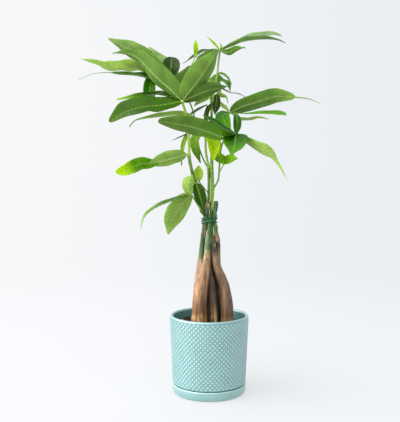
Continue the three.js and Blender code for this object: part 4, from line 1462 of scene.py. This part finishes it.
@dataclass(frozen=True)
class WireTie:
    """A coated wire wound round the bundle, with its two ends twisted together at the back."""

    centre: Point = (0.2, 0.8, 280)
    half_width: float = 12.1
    half_depth: float = 9.8
    turns: int = 3
    pitch: float = 3.0
    sags: tuple[tuple[float, float], ...] = ((1.3, 1.7), (0.6, 3.1))
    wire: float = 1.3
    sides: int = 12
    ring_step: float = 1.2
    least_rings: int = 60
    tail_reach: Point = (8, 12, 6)
    tail_apart: float = 0.9
    tail_flare: float = 1.6
    tail_half_twists: float = 5.5

    def coil(self) -> Array:
        """Winds the wire round the bundle.

        Returns:
            The points of its path, in millimetres.
        """
        count = 48 * self.turns
        share = np.arange(count + 1) / count
        angle = math.pi / 2 + share * self.turns * 2 * math.pi
        sag = sum(depth * np.sin(angle * beat) for depth, beat in self.sags)
        rise = (share - 0.5) * self.turns * self.pitch + sag
        loop = [self.half_width * np.cos(angle), self.half_depth * np.sin(angle), rise]
        return np.array(self.centre) + np.stack(loop, axis=1)

    def tail(self, side: float) -> Array:
        """Twists one end of the wire round the other.

        Args:
            side: the angle at which it starts.

        Returns:
            The points of its path, in millimetres.
        """
        share = np.linspace(0, 1, 40)
        middle = np.array([2, self.half_depth, 0]) + share[:, None] * np.array(self.tail_reach)
        apart = self.tail_apart + self.tail_flare * smooth_step(0.75, 1.0, share)
        twist = side + share * self.tail_half_twists * math.pi
        swing = np.stack([np.cos(twist), 0 * twist, np.sin(twist)], axis=1) * apart[:, None]
        return np.array(self.centre) + middle + swing

    def build(self, coating: Finish) -> Piece:
        """Builds the tie from its coil and its two tails.

        Args:
            coating: the finish.

        Returns:
            The new piece.
        """
        mesh = PieceMesh("wire_tie")
        for points in (self.coil(), self.tail(0), self.tail(math.pi)):
            path = SmoothPath(points)
            _, centre, along = path.walk(max(self.least_rings, int(path.length / self.ring_step)))
            mesh.add_skin(round_rings(centre * MM, along, self.wire * MM, self.sides))
        return mesh.build([coating], "tie", "twist_tie")


# ---- studio ----


@dataclass(frozen=True)
class SoftBox:
    """A broad glow in the light all round; narrow and wide say how near its aim it is full and ends."""

    aim: Point
    strength: float
    narrow: float
    wide: float

    def glow(self, wiring: Wiring, spot: Socket) -> Socket:
        """The glow's strength in each direction."""
        inputs = {0: spot, 1: Vector(self.aim).normalized()}
        near = wiring.add("VectorMath", "Value", inputs, operation="DOT_PRODUCT")
        return wiring.spread(near, self.wide, self.narrow, 0.0, self.strength)


@dataclass(frozen=True)
class Studio:
    """A pale floor that glows and carries painted shade, soft light mostly from the left front, and the
    camera.
    """

    boxes: tuple[SoftBox, ...] = (
        SoftBox((-0.95, -0.22, 0.20), 3.4, 0.95, 0.58),
        SoftBox((-0.30, -0.55, 0.78), 1.2, 0.95, 0.60),
    )
    camera_place: Point = (0, -1.126, 0.364)
    camera_down: float = 3.5
    camera_left: float = 0.76
    lens: float = 59.7
    film: float = 36.0
    far_clip: float = 500
    floor_radius: float = 60.0
    floor_sides: int = 96
    # Floor colours far and near, each left and right; the change between them is painted shade.
    floor_far: tuple[Colour, Colour] = ((0.924, 0.923, 0.930), (0.811, 0.845, 0.875))
    floor_near: tuple[Colour, Colour] = ((0.968, 0.968, 0.984), (0.905, 0.925, 0.948))
    floor_painted_glow: float = 0.62
    floor_light: float = 1.66
    left_to_right: tuple[float, float] = (-0.3, 0.3)
    near_to_far: tuple[float, float] = (-0.2, 1.5)
    top_gain: float = 1.35
    right_dim: float = 0.6
    front_dim: float = 0.8
    sky_left: Colour = (0.935, 0.940, 0.955)
    sky_right: Colour = (0.820, 0.860, 0.900)

    def add_floor(self) -> None:
        """Lays a pale floor that glows, its colour painted darker to the right and paler towards the front.
        """
        mesh = bpy.data.meshes.new("studio_floor")
        rim = np.pad(spokes(self.floor_sides), ((0, 0), (0, 1))) * self.floor_radius
        mesh.from_pydata(rim.tolist(), [], [list(range(self.floor_sides))])
        wiring = Wiring("pale_floor")
        aside, away, _ = wiring.parts(wiring.place())
        turn = wiring.math("ARCTAN2", aside, wiring.math("SUBTRACT", away, self.camera_place[1]))
        right = wiring.spread(turn, *self.left_to_right)
        far = wiring.spread(away, *self.near_to_far)
        # Painted shade: the floor darkens to the right and brightens towards the front, as the backdrop's
        # light does.
        shade = wiring.mix(far, wiring.mix(right, *self.floor_near), wiring.mix(right, *self.floor_far))
        # Painted glow: the floor emits light of its own colour, which lightens the shadows on it.
        lit = (1 - self.floor_painted_glow) / self.floor_light
        wiring.set(Base_Color=wiring.stain(shade, (lit, lit, lit)), Roughness=0.95)
        wiring.set(Emission_Color=shade, Emission_Strength=self.floor_painted_glow, Specular_IOR_Level=0.0)
        mesh.materials.append(wiring.material)
        add_to_scene("studio_floor", mesh)

    def add_light(self) -> None:
        """Sets the light all round: pale, bluer at the right, with two broad soft boxes in it."""
        wiring = Wiring("light", bpy.data.worlds.new("studio_light"))
        bpy.context.scene.world = wiring.material
        spot = wiring.add("TexCoord", "Generated", {})
        aside, away, up = wiring.parts(spot)
        strength = wiring.spread(up, 0.28, 0.9, 1.0, self.top_gain)
        strength = wiring.times(strength, wiring.spread(aside, 0.35, 0.85, 1.0, self.right_dim))
        strength = wiring.times(strength, wiring.spread(away, -0.95, -0.25, self.front_dim, 1.0))
        for box in self.boxes:
            strength = wiring.math("ADD", strength, box.glow(wiring, spot))
        back = wiring.nodes["Background"].inputs
        right = wiring.spread(aside, *self.left_to_right)
        wiring.feed(back["Color"], wiring.mix(right, self.sky_left, self.sky_right))
        wiring.feed(back["Strength"], strength)

    def add_camera(self) -> None:
        """Sets the camera."""
        view = bpy.data.cameras.new("camera")
        view.lens, view.sensor_width, view.clip_end = self.lens, self.film, self.far_clip
        camera = add_to_scene("camera", view)
        camera.location = self.camera_place
        camera.rotation_euler = (math.radians(90 - self.camera_down), 0, math.radians(self.camera_left))
        bpy.context.scene.camera = camera


# ---- the tree ----


def main() -> None:
    """Builds the pieces from the saucer up and reports them, then the studio."""
    logging.basicConfig(level=logging.INFO, format="%(message)s")
    glaze, bark, stalk = CeladonGlaze().make(), BarkFinish().make(), StalkFinish().make()
    # The third colour of each side darkens the veins and the painted shade beside them.
    upper = BladeFinish(BladeSide.UPPER, "7fa83c", "90ac60", (0.30, 0.44), 0.45, 0.00005).make()
    under = BladeFinish(BladeSide.UNDER, "a4c070", "8ea668", (0.44, 0.58), 0.5, 0.00008).make()
    pieces = [SaucerDish().build(glaze), HobnailPot().build(glaze)]
    pieces.append(SoilBed().build(PottingMix().make(), TRUNKS[:5]))
    pieces += [trunk.build(bark) for trunk in TRUNKS]
    pieces.append(WireTie().build(TieFinish().make()))
    pieces += [leaf.build([upper, under, stalk]) for leaf in LEAVES]
    for piece in pieces:
        triangles = len(piece.data.loops) - 2 * len(piece.data.polygons)
        log.info("%s: %d triangles", piece.name, triangles)
    studio = Studio()
    studio.add_floor()
    studio.add_light()
    studio.add_camera()
    bpy.context.scene.view_settings.view_transform = "Standard"


if __name__ == "__main__":
    main()
